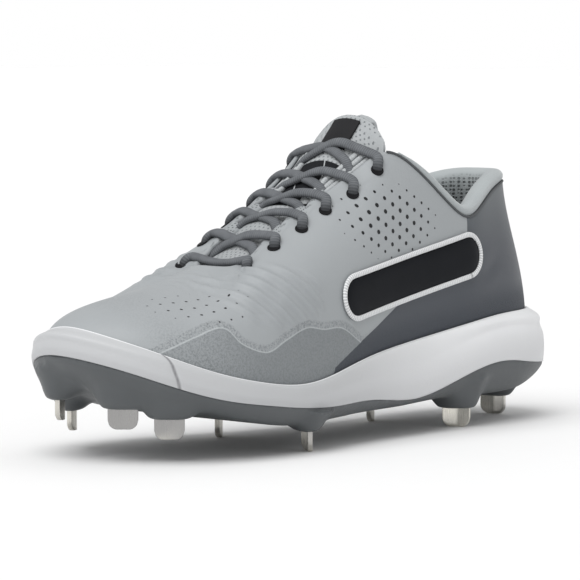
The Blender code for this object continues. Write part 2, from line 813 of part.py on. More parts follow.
def tube(name, collection, surface, path, radius):
    """A round cord along a path, with filled ends."""
    curve = bpy.data.curves.new(name, "CURVE")
    curve.dimensions = "3D"
    curve.bevel_depth = radius
    curve.bevel_resolution = 1
    curve.use_fill_caps = True
    line = curve.splines.new("POLY")
    line.points.add(len(path) - 1)
    for point, place in zip(line.points, path):
        point.co = (*place, 1.0)
    guide = bpy.data.objects.new(name + "_guide", curve)
    mesh = bpy.data.meshes.new_from_object(guide)
    bpy.data.objects.remove(guide)
    shell = bmesh.new()
    shell.from_mesh(mesh)
    bmesh.ops.remove_doubles(shell, verts=shell.verts, dist=0.00001)
    bmesh.ops.recalc_face_normals(shell, faces=shell.faces)
    shell.to_mesh(mesh)
    shell.free()
    mesh.shade_smooth()
    made = bpy.data.objects.new(name, mesh)
    made.data.materials.clear()
    made.data.materials.append(surface)
    collection.objects.link(made)
    return made


def build_laces(collection, helpers, surface, upper, tongue):
    """A straight bar at the lowest eyelets and a crossing above each pair, resting on the tongue."""
    bpy.context.view_layer.update()
    trees = [tree_of(upper), tree_of(tongue)]
    places = eyelets()
    last = len(EYELET_ROWS)

    def eyelet(side, number):
        return wall_point(*places[side, number], LACE_RADIUS + 3 * GAP)

    bar = clear_path(eyelet("medial", last), eyelet("lateral", last), trees, 11)
    tube("lace_bar", collection, surface, bar, LACE_RADIUS)
    for number in range(last - 1, 0, -1):
        paths = []
        for near, far in (("medial", "lateral"), ("lateral", "medial")):
            start = eyelet(near, number + 1)
            end = eyelet(far, number)
            start, end = start + (end - start) * 0.25, end + (start - end) * 0.04
            paths.append(clear_path(start, end, trees, 11))
        cross = tube(f"lace_cross_{number}", collection, surface, paths[0], LACE_RADIUS)
        over = tube(f"lace_over_{number}", helpers, surface, paths[1], LACE_RADIUS)
        hide_helper(over)
        add_boolean(cross, over, "UNION")


def build_side_bar(collection, helpers, surface, side):
    """A plain rounded bar that follows the upper's wall, cut from a thin shell round it."""
    sign = 1 if side == "lateral" else -1
    low, high = 2.6, 8.2
    stations = np.linspace(low, high, 18)
    if sign < 0:
        stations = 2 * LAST_ROW - stations
    shares = np.linspace(0.10, 0.86, 7)
    near = wall_offset(stations, shares, 1.3 * GAP)
    far = wall_offset(stations, shares, 1.3 * GAP + OVERLAY_THICKNESS)
    shell = slab(f"side_bar_{side}", collection, surface, far, near)
    half = SIDE_BAR_HEIGHT / 2
    straight = SIDE_BAR_LENGTH / 2 - half
    lean = math.radians(SIDE_BAR_TILT)
    outline_points = []
    for end in (1, -1):
        for k in range(9):
            turn = math.pi * (k / 8 - 0.5)
            a = end * (straight + half * math.cos(turn))
            b = end * half * math.sin(turn)
            outline_points.append((a * math.cos(lean) - b * math.sin(lean), a * math.sin(lean) + b * math.cos(lean)))
    centre_y, centre_z = 0.10 * SOLE_LENGTH, 0.57 * INSTEP_HEIGHT
    points = [
        (x, centre_y + y, centre_z + z)
        for x in (sign * 0.10 * BALL_WIDTH, sign * BALL_WIDTH)
        for y, z in outline_points
    ]
    count = len(outline_points)
    faces = loft_faces(2, count) + [tuple(range(count)), tuple(range(count, 2 * count))]
    cutter = mesh_object(f"bar_outline_{side}", helpers, surface, points, faces)
    hide_helper(cutter)
    add_boolean(shell, cutter, "INTERSECT")
    return shell


def corners_of(objects):
    """Lowest and highest corner of the finished objects."""
    bpy.context.view_layer.update()
    graph = bpy.context.evaluated_depsgraph_get()
    points = []
    for obj in objects:
        made = obj.evaluated_get(graph)
        points += [made.matrix_world @ vertex.co for vertex in made.data.vertices]
    return [Vector([pick(p[k] for p in points) for k in range(3)]) for pick in (min, max)]


def stand_on_origin(parts):
    """Moves everything so that the middle of the shoe's footprint is at the origin, on the floor."""
    low, high = corners_of(parts.objects)
    shift = Vector((-(low.x + high.x) / 2, -(low.y + high.y) / 2, -low.z))
    for obj in bpy.data.objects:
        obj.location += shift


def build_model():
    clear_scene()
    parts = new_collection("baseball_cleat")
    helpers = new_collection("cutters")
    helpers.hide_render = True
    grey_rubber = material("plate_grey", (0.11, 0.12, 0.13), 0.45)
    white_foam = material("midsole_white", (0.78, 0.78, 0.80), 0.55)
    grey_skin = material("upper_grey", (0.36, 0.38, 0.39), 0.55)
    grey_mesh = material("lining_grey", (0.40, 0.42, 0.43), 0.80)
    tongue_grey = material("tongue_grey", (0.38, 0.40, 0.42), 0.80)
    lace_grey = material("lace_grey", (0.12, 0.13, 0.135), 0.75)
    black_label = material("label_black", (0.012, 0.012, 0.014), 0.60)
    black_bar = material("bar_black", (0.010, 0.010, 0.012), 0.40)
    steel = material("spike_steel", (0.62, 0.61, 0.58), 0.25, 1.0)
    build_outsole(parts, helpers, grey_rubber)
    build_spikes(parts, steel)
    build_midsole(parts, white_foam)
    build_insole(parts, grey_mesh)
    upper = build_upper(parts, helpers, grey_skin)
    tongue = build_tongue(parts, tongue_grey)
    build_tongue_label(parts, helpers, black_label)
    build_collar(parts, grey_mesh)
    build_laces(parts, helpers, lace_grey, upper, tongue)
    for side in ("lateral", "medial"):
        build_side_bar(parts, helpers, black_bar, side)
    stand_on_origin(parts)


build_model()
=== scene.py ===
"""The looks of a low-cut baseball cleat for the left foot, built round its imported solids.

Metres, +Z up. The toe points to -Y and the outer (lateral) side of the foot is +X. The sole,
the upper and the tongue follow the same tables of stations as the solids, cut more finely.
"""

import math

import bmesh
import bpy
import numpy as np
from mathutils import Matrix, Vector
from mathutils.bvhtree import BVHTree


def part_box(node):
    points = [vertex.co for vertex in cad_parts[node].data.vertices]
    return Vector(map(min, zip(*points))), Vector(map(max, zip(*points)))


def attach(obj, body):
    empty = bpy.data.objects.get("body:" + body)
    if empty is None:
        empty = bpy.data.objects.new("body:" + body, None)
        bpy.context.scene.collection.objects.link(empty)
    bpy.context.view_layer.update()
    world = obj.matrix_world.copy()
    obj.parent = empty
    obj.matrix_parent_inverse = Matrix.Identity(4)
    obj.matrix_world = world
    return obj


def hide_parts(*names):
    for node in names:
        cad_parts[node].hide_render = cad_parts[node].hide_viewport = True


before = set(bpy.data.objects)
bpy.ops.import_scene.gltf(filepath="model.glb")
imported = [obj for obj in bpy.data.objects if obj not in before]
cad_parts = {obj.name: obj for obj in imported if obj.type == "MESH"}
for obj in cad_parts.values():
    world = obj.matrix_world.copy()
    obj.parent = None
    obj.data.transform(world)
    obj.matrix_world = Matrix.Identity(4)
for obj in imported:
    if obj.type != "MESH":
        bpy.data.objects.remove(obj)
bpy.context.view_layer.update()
MM = 0.001

# Driving sizes, the same as the solids'
SOLE_LENGTH = 0.294
BALL_WIDTH = 0.103
RIM_HEIGHT = 0.051
INSTEP_HEIGHT = 0.126
TOE_SPRING = 0.023
SIDE_FLARE = 0.010
GAP = 0.0003
UPPER_WALL = 0.0022
RIM_LIP = 0.0024
TRAY_STEP = 0.0008
PLATE_THICKNESS = 0.0034
INSOLE_THICKNESS = 0.0034
TONGUE_THICKNESS = 0.0062
TONGUE_STAND = 0.0045
TONGUE_ARCH = 0.0080
TONGUE_HALF = 0.0215
TONGUE_TUCK = 0.009
LABEL_WIDTH = 0.015
LABEL_HEIGHT = 0.0125
COLLAR_PAD = 0.0070
COLLAR_ROLL = 0.0050
BAR_LENGTH = 0.100
BAR_HEIGHT = 0.019
BAR_TILT = 10.0
SPIKE_WIDTH = 0.0128
SPIKE_THICKNESS = 0.0022
SPIKE_LENGTH = 0.0085
SPIKE_ROOT = 0.0033
SPIKE_FOLD = 0.0016
BOSS_WALL = 0.0032
BOSS_FLARE = 0.0045
BLEND_REACH = 0.012

# Stations of the tongue's ends under the throat and of the collar's ends
TONGUE_TOE = 12.4
TONGUE_CORNER = 7.25
COLLAR_END = 6.80

# Stations from the heel's back (first) to the toe tip (last), as in the solids
SOLE_COLUMNS = ("along", "lateral", "medial", "under", "line", "rim", "bed", "inset", "tuck")
SOLE_ROWS = (
    (0.000, 0.000, 0.000, 0.290, 0.475, 1.000, 0.700, 0.95, 1.10),
    (0.012, 0.165, 0.165, 0.290, 0.485, 1.000, 0.700, 0.95, 1.10),
    (0.050, 0.278, 0.272, 0.280, 0.505, 1.000, 0.700, 0.92, 1.05),
    (0.115, 0.348, 0.335, 0.270, 0.540, 1.000, 0.700, 0.85, 0.95),
    (0.200, 0.372, 0.352, 0.270, 0.570, 0.980, 0.680, 0.75, 0.75),
    (0.300, 0.372, 0.335, 0.285, 0.440, 0.905, 0.640, 0.62, 0.60),
    (0.400, 0.382, 0.318, 0.265, 0.330, 0.830, 0.580, 0.52, 0.55),
    (0.500, 0.412, 0.340, 0.255, 0.370, 0.745, 0.530, 0.50, 0.55),
    (0.590, 0.455, 0.395, 0.240, 0.370, 0.640, 0.470, 0.50, 0.60),
    (0.675, 0.490, 0.450, 0.230, 0.385, 0.585, 0.435, 0.48, 0.60),
    (0.760, 0.498, 0.490, 0.250, 0.400, 0.590, 0.425, 0.45, 0.60),
    (0.840, 0.455, 0.480, 0.270, 0.390, 0.605, 0.425, 0.43, 0.65),
    (0.912, 0.360, 0.415, 0.250, 0.405, 0.635, 0.430, 0.42, 0.68),
    (0.968, 0.205, 0.285, 0.230, 0.430, 0.655, 0.440, 0.42, 0.80),
    (1.000, -0.050, 0.050, 0.225, 0.440, 0.670, 0.440, 0.42, 0.95),
)
TOP_COLUMNS = ("back", "out_lateral", "out_medial", "height", "lean", "pitch", "rise", "run")
TOP_ROWS = (
    (0.0714, 0.000, 0.000, 0.875, 0.0, 86.0, 0.45, 0.30),
    (0.0800, 0.092, 0.092, 0.875, 1.0, 86.0, 0.45, 0.30),
    (0.1105, 0.165, 0.162, 0.870, 4.0, 85.0, 0.42, 0.30),
    (0.1630, 0.233, 0.224, 0.840, 8.0, 83.0, 0.40, 0.32),
    (0.2210, 0.300, 0.285, 0.782, 10.0, 80.0, 0.38, 0.34),
    (0.2720, 0.330, 0.310, 0.772, 10.0, 77.0, 0.36, 0.35),
    (0.3370, 0.315, 0.300, 0.885, 9.0, 70.0, 0.36, 0.36),
    (0.4040, 0.255, 0.250, 1.000, 8.0, 58.0, 0.38, 0.38),
    (0.4530, 0.205, 0.205, 0.958, 7.0, 48.0, 0.38, 0.38),
    (0.5070, 0.180, 0.180, 0.885, 6.0, 43.0, 0.38, 0.38),
    (0.5610, 0.158, 0.158, 0.815, 6.0, 39.0, 0.38, 0.38),
    (0.6210, 0.138, 0.138, 0.738, 6.0, 36.0, 0.38, 0.38),
    (0.6760, 0.118, 0.122, 0.645, 6.0, 31.0, 0.36, 0.40),
    (0.7080, 0.064, 0.068, 0.628, 5.0, 28.0, 0.33, 0.40),
    (0.7160, -0.002, 0.002, 0.630, 4.0, 27.0, 0.30, 0.40),
)

# Spikes: shares of the length from the heel and of the width from the middle, turn in degrees
SPIKE_ROWS = (
    (0.926, 0.126, 43.0),
    (0.948, -0.185, -50.0),
    (0.878, 0.255, 43.0),
    (0.865, -0.366, -50.0),
    (0.637, 0.375, -34.0),
    (0.598, -0.258, -46.0),
    (0.250, 0.250, 35.0),
    (0.281, -0.190, -50.0),
    (0.066, 0.020, 10.0),
)

# Station and share of the way up its rib of each pair of eyelets, from the collar to the toe
EYELET_ROWS = (
    (7.42, 0.935),
    (8.24, 0.895),
    (9.18, 0.905),
    (9.95, 0.885),
    (10.75, 0.865),
    (11.55, 0.860),
)

# Rows of the tongue's top: share of the way up it, and of the width that is left
TONGUE_TOP_ROWS = ((0.22, 1.00), (0.45, 0.93), (0.68, 0.80), (0.86, 0.62), (0.97, 0.38), (1.00, 0.20))

# Stations from the heel to the toe, and all round the shoe
LAST_ROW = len(SOLE_ROWS) - 1
ROUND = 2 * LAST_ROW

# The photograph's view of the shoe
CAMERA_AZIMUTH = 43.0
CAMERA_ELEVATION = 4.5
CAMERA_DISTANCE = 1.6
CAMERA_TARGET = (0.0, 0.0, 0.06)
PHOTO_WIDTH = 580.0
PHOTO_SCALE = 1655.0
PHOTO_CENTRE = (354.5, 296.0)
PHOTO_TARGET = (366.0, 304.6)
ZOOM = 1.36

# Sizes of the looks' own pieces
LACE_WIDTH = 0.0047
LACE_THICKNESS = 0.0029
BAND_CORD = 0.0025
PIPING_CORD = 0.0011
BORDER_WIDTH = 0.0024
BORDER_THICKNESS = 0.0014
TAB_REACH = 0.0074
BLADE_CORNER = 0.0042
BLADE_EASE = 0.00035
LIP_DROP = 0.0006
LIP_CREST = 0.0002
LACE_LEAVE = 0.0045
BAND_INSET = 0.0034
BAND_STATIONS = (7.55, 9.5)
BORDER_HEIGHT = 0.0011
BAR_CROWN = 0.0014
BAR_EDGE = 0.0004
BAR_SUNK = 0.0002
LABEL_LIFT = (0.0010, 0.0002)
INSOLE_DISH = 0.0010

# Middle of a side bar: share of the length behind the shoe's middle, and of the instep's height
BAR_PLACE = (0.10, 0.57)

# How finely the pieces are cut
UPPER_STATIONS = 820
MIDSOLE_STATIONS = 760
OUTSOLE_STATIONS = 420
INSOLE_STATIONS = 240
PLATE_VOXEL = 0.00085

# How many times the points of the plate and of the laces are eased
PLATE_EASING = 26
LACE_EASING = 24
LACE_TURN_EASING = 14

# Rows of a lace's cord, from its end, that lie in the shade of an eyelet, and in the dark
SHADE_ROWS = (19, 5)

# Edges of the upper's film and heel panel seen from the side, (y, z) in millimetres
FILM_LINE = (
    (-126.0, 45.0), (-117.7, 48.5), (-105.4, 53.0), (-92.1, 56.3), (-85.3, 49.3), (-72.9, 45.2),
    (-60.8, 49.5), (-46.7, 53.8), (-34.7, 52.4), (-21.7, 52.1), (-8.9, 45.8), (4.0, 38.0),
)
PANEL_LINE = (
    (-26.8, 35.2), (-10.9, 43.0), (4.9, 50.8), (24.2, 61.6), (45.1, 73.8), (57.5, 80.5),
    (69.4, 86.3), (70.6, 94.0), (71.5, 150.0),
)

# The row of pinholes on the toe that the others lie beside: (y, x) in millimetres
VAMP_ROW = (
    (-118.0, 15.6), (-112.0, 18.1), (-106.2, 20.4), (-100.6, 22.7), (-95.2, 25.0), (-89.6, 26.7),
    (-84.3, 28.0), (-79.1, 28.9), (-72.0, 29.6),
)

# A point on a rib of the inner side's quarter, (y, z) in millimetres, and the ribs' direction
MEDIAL_RIB = (30.0, 86.0)
MEDIAL_WAY = (25.0, -11.5)

# The same for the short ribs ahead of them
TOE_RIB = (-48.0, 66.0)
TOE_WAY = (22.0, -16.0)

# Dots in mm: pitch along a row and between rows, shift from row to row, and one dot's place
DOT_GRIDS = {
    "holes": ((9.6, 2.9), 5.4, (16.3, 106.6)),
    "vamp": ((5.5, 6.4), -1.1, (-95.2, 0.0)),
    "tabs": ((2.3, 1.8), 1.15, (0.0, 1.3)),
    "slots": ((2.3, 5.9), 1.1, (0.0, 0.0)),
    "tongue": ((2.6, 1.9), 1.3, (0.0, 0.0)),
}

# Creases: middle (y, z) and half length in mm, slope in degrees from level, depth and width in mm
CREASES = (
    (-66.0, 66.0, 13.0, 62.0, 0.45, 2.6),
    (-72.5, 62.0, 11.0, 66.0, 0.35, 2.4),
    (-59.0, 70.0, 11.0, 58.0, 0.35, 2.4),
    (62.0, 74.0, 13.0, -38.0, 0.35, 3.2),
    (88.0, 72.0, 12.0, 20.0, 0.30, 3.5),
    (-2.0, 58.0, 14.0, 30.0, 0.30, 3.5),
)

# The punched patch on the side: its middle (y, z) and half sizes in millimetres
HOLE_PATCH = ((19.0, 96.0), (32.0, 18.0))

# The patch of pinholes on the toe: its middle y, and half sizes along and beside the row above
VAMP_PATCH = (-93.0, (21.0, 16.0))

# The tongue's black panel in millimetres: top and end down from the tongue's top, and half width
BLACK_PANEL = (27.0, 60.0, 12.5)

# Its light lobes: middles down from the tongue's top and to either side, and radius
LOBE_TOPS = (38.0, 53.0)
LOBE_SIDE = 9.5
LOBE_RADIUS = 3.4

# Rings of the pad round a spike: share of the way up to the plate, and of the flare there
MOUND_RINGS = ((1.0, 1.35), (0.8, 0.85), (0.6, 0.5), (0.4, 0.27), (0.2, 0.1), (0.06, 0.0), (0.0, -0.12))

# Rings of an eyelet's dark rim, painted shadow of its hole: radius, and height over the skin
RIM_RINGS = ((0.0029, 0.0001), (0.0029, 0.0004), (0.0026, 0.0005), (0.0022, 0.0003))

# A lace's way into an eyelet: share of a rib past it, and height in thicknesses of the lace
EYELET_BEND = ((0.045, 0.60), (0.022, 0.60), (0.002, 0.30), (-0.010, -0.60), (-0.012, -1.60))

# Plain surfaces: dark and light tone, roughness, grain and its depth, and how much they shine
PLAIN_SURFACES = {
    "label_black": ((0.008, 0.008, 0.009), (0.014, 0.014, 0.016), 0.60, 2500.0, 0.0001, 0.20),
    # painted shadow of the eyelet holes
    "eyelet_hole_shadow": ((0.008, 0.008, 0.009), (0.012, 0.012, 0.013), 0.70, 2000.0, 0.00005, 0.10),
    "piping_dark": ((0.050, 0.054, 0.058), (0.080, 0.086, 0.091), 0.60, 3000.0, 0.00008, 0.50),
    "bar_black": ((0.006, 0.007, 0.009), (0.009, 0.010, 0.013), 0.45, 1600.0, 0.00004, 0.08),
    "pale_floor": ((0.89, 0.89, 0.89), (0.90, 0.90, 0.90), 0.80, 30.0, 0.0001, 0.50),
}


def ring_of(lateral_side, medial_side):
    """A column's values round the shoe: heel, outer side, toe, then back on the inner side."""
    return list(lateral_side) + list(medial_side[-2:0:-1])


def through_points(values):
    """Control values of the closed uniform cubic B-spline that passes through a ring of values."""
    turn = np.roll(np.eye(len(values)), 1, axis=0)
    return np.linalg.solve((4 * np.eye(len(values)) + turn + turn.T) / 6, np.array(values, float))


def table_splines():
    """Every column of both tables as a closed spline, widths signed (+X is the outer side)."""
    splines = {}
    for names, rows, sides in (
        (SOLE_COLUMNS, SOLE_ROWS, ("lateral", "medial")),
        (TOP_COLUMNS, TOP_ROWS, ("out_lateral", "out_medial")),
    ):
        columns = dict(zip(names, zip(*rows)))
        splines["x_" + sides[0]] = through_points(
            ring_of(columns[sides[0]], [-x for x in columns[sides[1]]])
        )
        for name in names:
            if name not in sides:
                splines[name] = through_points(ring_of(columns[name], columns[name]))
    return splines


SPLINES = table_splines()


def at(name, station):
    """A column's spline at each station, in rows of the table from the heel's back."""
    control = SPLINES[name]
    station = np.asarray(station, float)
    first = np.floor(station).astype(int)
    f = station - first
    weights = ((1 - f) ** 3, 3 * f**3 - 6 * f**2 + 4, -3 * f**3 + 3 * f**2 + 3 * f + 1, f**3)
    return sum(w * control[(first + k - 1) % len(control)] for k, w in enumerate(weights)) / 6


def unit(vectors):
    """Vectors of length 1 along each of those given."""
    return vectors / np.linalg.norm(vectors, axis=-1, keepdims=True)


def smooth(values, low, high):
    """0 below low, 1 above high, and a soft step between."""
    t = np.clip((np.asarray(values, float) - low) / (high - low), 0, 1)
    return t * t * (3 - 2 * t)


def bell(values):
    """1 at zero, falling softly to 0 on both sides."""
    return np.exp(-(np.asarray(values) ** 2))


def turned(x, y, degrees):
    """Points turned about the origin of their plane, from its first axis towards the second."""
    c, s = math.cos(math.radians(degrees)), math.sin(math.radians(degrees))
    return np.stack([x * c - y * s, x * s + y * c], -1)


def run_along(points):
    """How far it is along a row of points to each of them."""
    return np.concatenate([[0], np.cumsum(np.linalg.norm(np.diff(points, axis=0), axis=1))])


def spring_at(along):
    """How far the toe spring lifts the shoe at a share of its length."""
    start = 0.62
    return TOE_SPRING * np.clip((np.asarray(along, float) - start) / (1 - start), 0, None) ** 2.2


def outline(station, inset=0.0):
    """Plan points (x, y) of the sole's edge at each station, moved inwards by inset."""
    step = 0.01

    def edge(u):
        return np.stack([at("x_lateral", u) * BALL_WIDTH, (0.5 - at("along", u)) * SOLE_LENGTH], -1)

    way = unit(edge(station + step) - edge(station - step))
    outward = np.stack([-way[..., 1], way[..., 0]], -1)
    return edge(station) - outward * np.asarray(inset)[..., None], outward


def level(name, station):
    """Height of a sole level (under, line, rim or bed) at each station."""
    return at(name, station) * RIM_HEIGHT + spring_at(at("along", station))


def frame_shift():
    """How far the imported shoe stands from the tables' own origin."""
    edge, _ = outline(np.arange(3 * ROUND) / 3)
    low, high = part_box("midsole")
    middle = (edge.min(0) + edge.max(0)) / 2
    return np.array([(low.x + high.x) / 2 - middle[0], (low.y + high.y) / 2 - middle[1], 0.0])


SHIFT = frame_shift()


def wall(station, share, off=0.0):
    """Points of the upper's outer face at a share of the way up each rib, off along its normal."""
    station, share = np.asarray(station, float), np.asarray(share, float)
    if np.any(off):
        return wall(station, share) + wall_normal(station, share) * np.asarray(off)[..., None]
    plan, outward = outline(station, at("inset", station) * SIDE_FLARE)
    foot = np.concatenate([plan, (level("bed", station) + GAP)[..., None]], -1)
    top = np.stack(
        [
            at("x_out_lateral", station) * BALL_WIDTH,
            (0.5 - at("back", station)) * SOLE_LENGTH,
            at("height", station) * INSTEP_HEIGHT,
        ],
        -1,
    )
    inward = unit(-outward * BLEND_REACH + (top - foot)[..., :2])
    inward = np.concatenate([inward, np.zeros((*inward.shape[:-1], 1))], -1)
    up = np.array([0.0, 0.0, 1.0])
    span = np.linalg.norm(top - foot, axis=-1, keepdims=True)
    lean = np.radians(at("lean", station))[..., None]
    pitch = np.radians(at("pitch", station))[..., None]
    low = foot + at("rise", station)[..., None] * span * (np.cos(lean) * up - np.sin(lean) * inward)
    high = top - at("run", station)[..., None] * span * (np.cos(pitch) * inward + np.sin(pitch) * up)
    t = share[..., None]
    return (
        (1 - t) ** 3 * foot + 3 * (1 - t) ** 2 * t * low + 3 * (1 - t) * t**2 * high + t**3 * top
    ) + SHIFT


def wall_normal(station, share):
    """The outward direction of the upper's outer face."""
    small = 0.004
    along = wall(station + small, share) - wall(station - small, share)
    rise = wall(station, share + small) - wall(station, share - small)
    return unit(np.cross(rise, along))


def share_at_height(stations, heights):
    """Where each rib passes a height, as a share from the sole to the top edge."""
    tries = np.linspace(0, 0.6, 121)
    z = wall(stations[:, None], tries[None, :])[..., 2]
    return np.array([np.interp(h, row, tries) for h, row in zip(heights, z)])


def even_stations(count):
    """Stations that lie evenly spaced round the shoe."""
    fine = np.linspace(0, ROUND, 4001)
    length = run_along(wall(fine, 0.3))
    return np.interp(np.arange(count) / count * length[-1], length, fine)


def across_from(station):
    """The same station on the other side of the shoe."""
    return ROUND - station


def folded(station):
    """Stations counted from the heel on either side of the shoe."""
    return np.minimum(station, across_from(station))


def plan_place(along, across):
    """A place under the shoe given as shares of its length from the heel and of its width."""
    return np.array([across * BALL_WIDTH, (0.5 - along) * SOLE_LENGTH])


def refine(points, steps, closed=False):
    """A smooth curve through rows of points, with steps rows for each one given."""
    p = np.asarray(points, float)
    ends = (p[-1:], p[:2]) if closed else (2 * p[:1] - p[1:2], 2 * p[-1:] - p[-2:-1])
    p = np.concatenate([ends[0], p, ends[1]])
    a, b, c, d = (p[k : len(p) - 3 + k][:, None] for k in range(4))
    t = (np.arange(steps) / steps).reshape(1, -1, *[1] * (p.ndim - 1))
    fine = 0.5 * (2 * b + (c - a) * t + (2 * a - 5 * b + 4 * c - d) * t**2 + (3 * b - a - 3 * c + d) * t**3)
    fine = fine.reshape(-1, *p.shape[1:])
    return fine if closed else np.concatenate([fine, p[-2:-1]])


def refine_across(grid, steps, closed=False):
    """The same along the other way of a grid of points."""
    return np.swapaxes(refine(np.swapaxes(grid, 0, 1), steps, closed), 0, 1)


def grid_faces(rows, columns, close_rows=False, close_columns=False):
    """Faces of a grid of points, row after row in the point list."""
    r = np.arange(rows if close_rows else rows - 1)[:, None]
    c = np.arange(columns if close_columns else columns - 1)[None, :]
    r2, c2 = (r + 1) % rows, (c + 1) % columns
    quads = np.stack([r * columns + c, r * columns + c2, r2 * columns + c2, r2 * columns + c], -1)
    return quads.reshape(-1, 4).tolist()


def slab_faces(rows, columns):
    """Faces of two equal grids, joined round their edge."""
    faces = grid_faces(rows, columns)
    size = rows * columns
    faces += [[i + size for i in face] for face in faces]
    edge = [r * columns for r in range(rows)] + [(rows - 1) * columns + c for c in range(1, columns)]
    edge += [r * columns + columns - 1 for r in range(rows - 2, -1, -1)] + list(range(columns - 2, 0, -1))
    faces += [[a, b, b + size, a + size] for a, b in zip(edge, edge[1:] + edge[:1])]
    return faces


def tube_faces(rings, around):
    """Faces of a row of closed rings, with both ends filled."""
    faces = grid_faces(rings, around, close_columns=True)
    return faces + [list(range(around)), list(range((rings - 1) * around, rings * around))]


def ladder_faces(first, columns):
    """Closes a ring of points with rungs from each side of the shoe to the other."""
    half = columns // 2
    faces = [(first, first + 1, first + columns - 1)]
    faces += [
        (first + c, first + c + 1, first + columns - c - 1, first + columns - c) for c in range(1, half - 1)
    ]
    return faces + [(first + half - 1, first + half, first + half + 1)]


def cup_faces(rings, around):
    """Faces of rings that go round the shoe, with both ends closed by rungs."""
    faces = grid_faces(rings, around, close_columns=True)
    return faces + ladder_faces(0, around) + ladder_faces((rings - 1) * around, around)


def joined(parts):
    """Several parts, each given by its points and faces, as one list of either."""
    points, faces, start = [], [], 0
    for more, more_faces in parts:
        points.append(more.reshape(-1, 3))
        faces += [[i + start for i in face] for face in more_faces]
        start += len(points[-1])
    return np.concatenate(points), faces


def piece(name, points, faces, finish, slot, *nodes, fields=None):
    """A closed mesh that rides on the shoe, with its normals out and its fields on its points."""
    mesh = bpy.data.meshes.new(name)
    mesh.from_pydata(np.asarray(points, float).reshape(-1, 3).tolist(), [], faces)
    shell = bmesh.new()
    shell.from_mesh(mesh)
    bmesh.ops.recalc_face_normals(shell, faces=shell.faces)
    shell.to_mesh(mesh)
    shell.free()
    mesh.shade_smooth()
    for field, values in (fields or {}).items():
        attribute = mesh.attributes.new(field, "FLOAT", "POINT")
        attribute.data.foreach_set("value", np.asarray(values, np.float32).ravel())
    mesh.materials.append(finish)
    made = bpy.data.objects.new(name, mesh)
    bpy.context.scene.collection.objects.link(made)
    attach(made, "root")
    if nodes:
        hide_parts(*nodes)
    return made


def tree_of(made):
    """A piece's surface, for finding where a line meets it."""
    mesh = made.data
    return BVHTree.FromPolygons([v.co for v in mesh.vertices], [p.vertices for p in mesh.polygons])


def signed_distance(points, corners):
    """Distance of plane points from a closed outline, positive inside."""
    a = np.array(corners, float)
    b = np.roll(a, -1, axis=0)
    nearest = np.full(points.shape[:-1], 1e9)
    inside = np.zeros(points.shape[:-1], bool)
    for p, q in zip(a, b):
        way = q - p
        t = np.clip(((points - p) @ way) / (way @ way), 0, 1)
        nearest = np.minimum(nearest, np.linalg.norm(points - p - t[..., None] * way, axis=-1))
        crosses = (p[1] > points[..., 1]) != (q[1] > points[..., 1])
        with np.errstate(divide="ignore", invalid="ignore"):
            reach = p[0] + (points[..., 1] - p[1]) * (way[0] / way[1] if way[1] else 0.0)
        inside ^= crosses & (points[..., 0] < reach)
    return np.where(inside, nearest, -nearest)


def area_under(line, floor=-80.0):
    """The outline of all that lies below a line of (y, z) points."""
    fine = refine(line, 6)
    return [*fine.tolist(), [fine[-1][0], floor], [fine[0][0], floor]]


class Value:
    """A value that runs between a material's nodes and takes the signs of arithmetic."""

    def __init__(self, finish, socket):
        self.finish, self.socket = finish, socket

    def __add__(self, other):
        return self.finish.calc("ADD", self, other)

    def __sub__(self, other):
        return self.finish.calc("SUBTRACT", self, other)

    def __rsub__(self, other):
        return self.finish.calc("SUBTRACT", other, self)

    def __mul__(self, other):
        return self.finish.calc("MULTIPLY", self, other)

    def __truediv__(self, other):
        return self.finish.calc("DIVIDE", self, other)

    __radd__, __rmul__ = __add__, __mul__


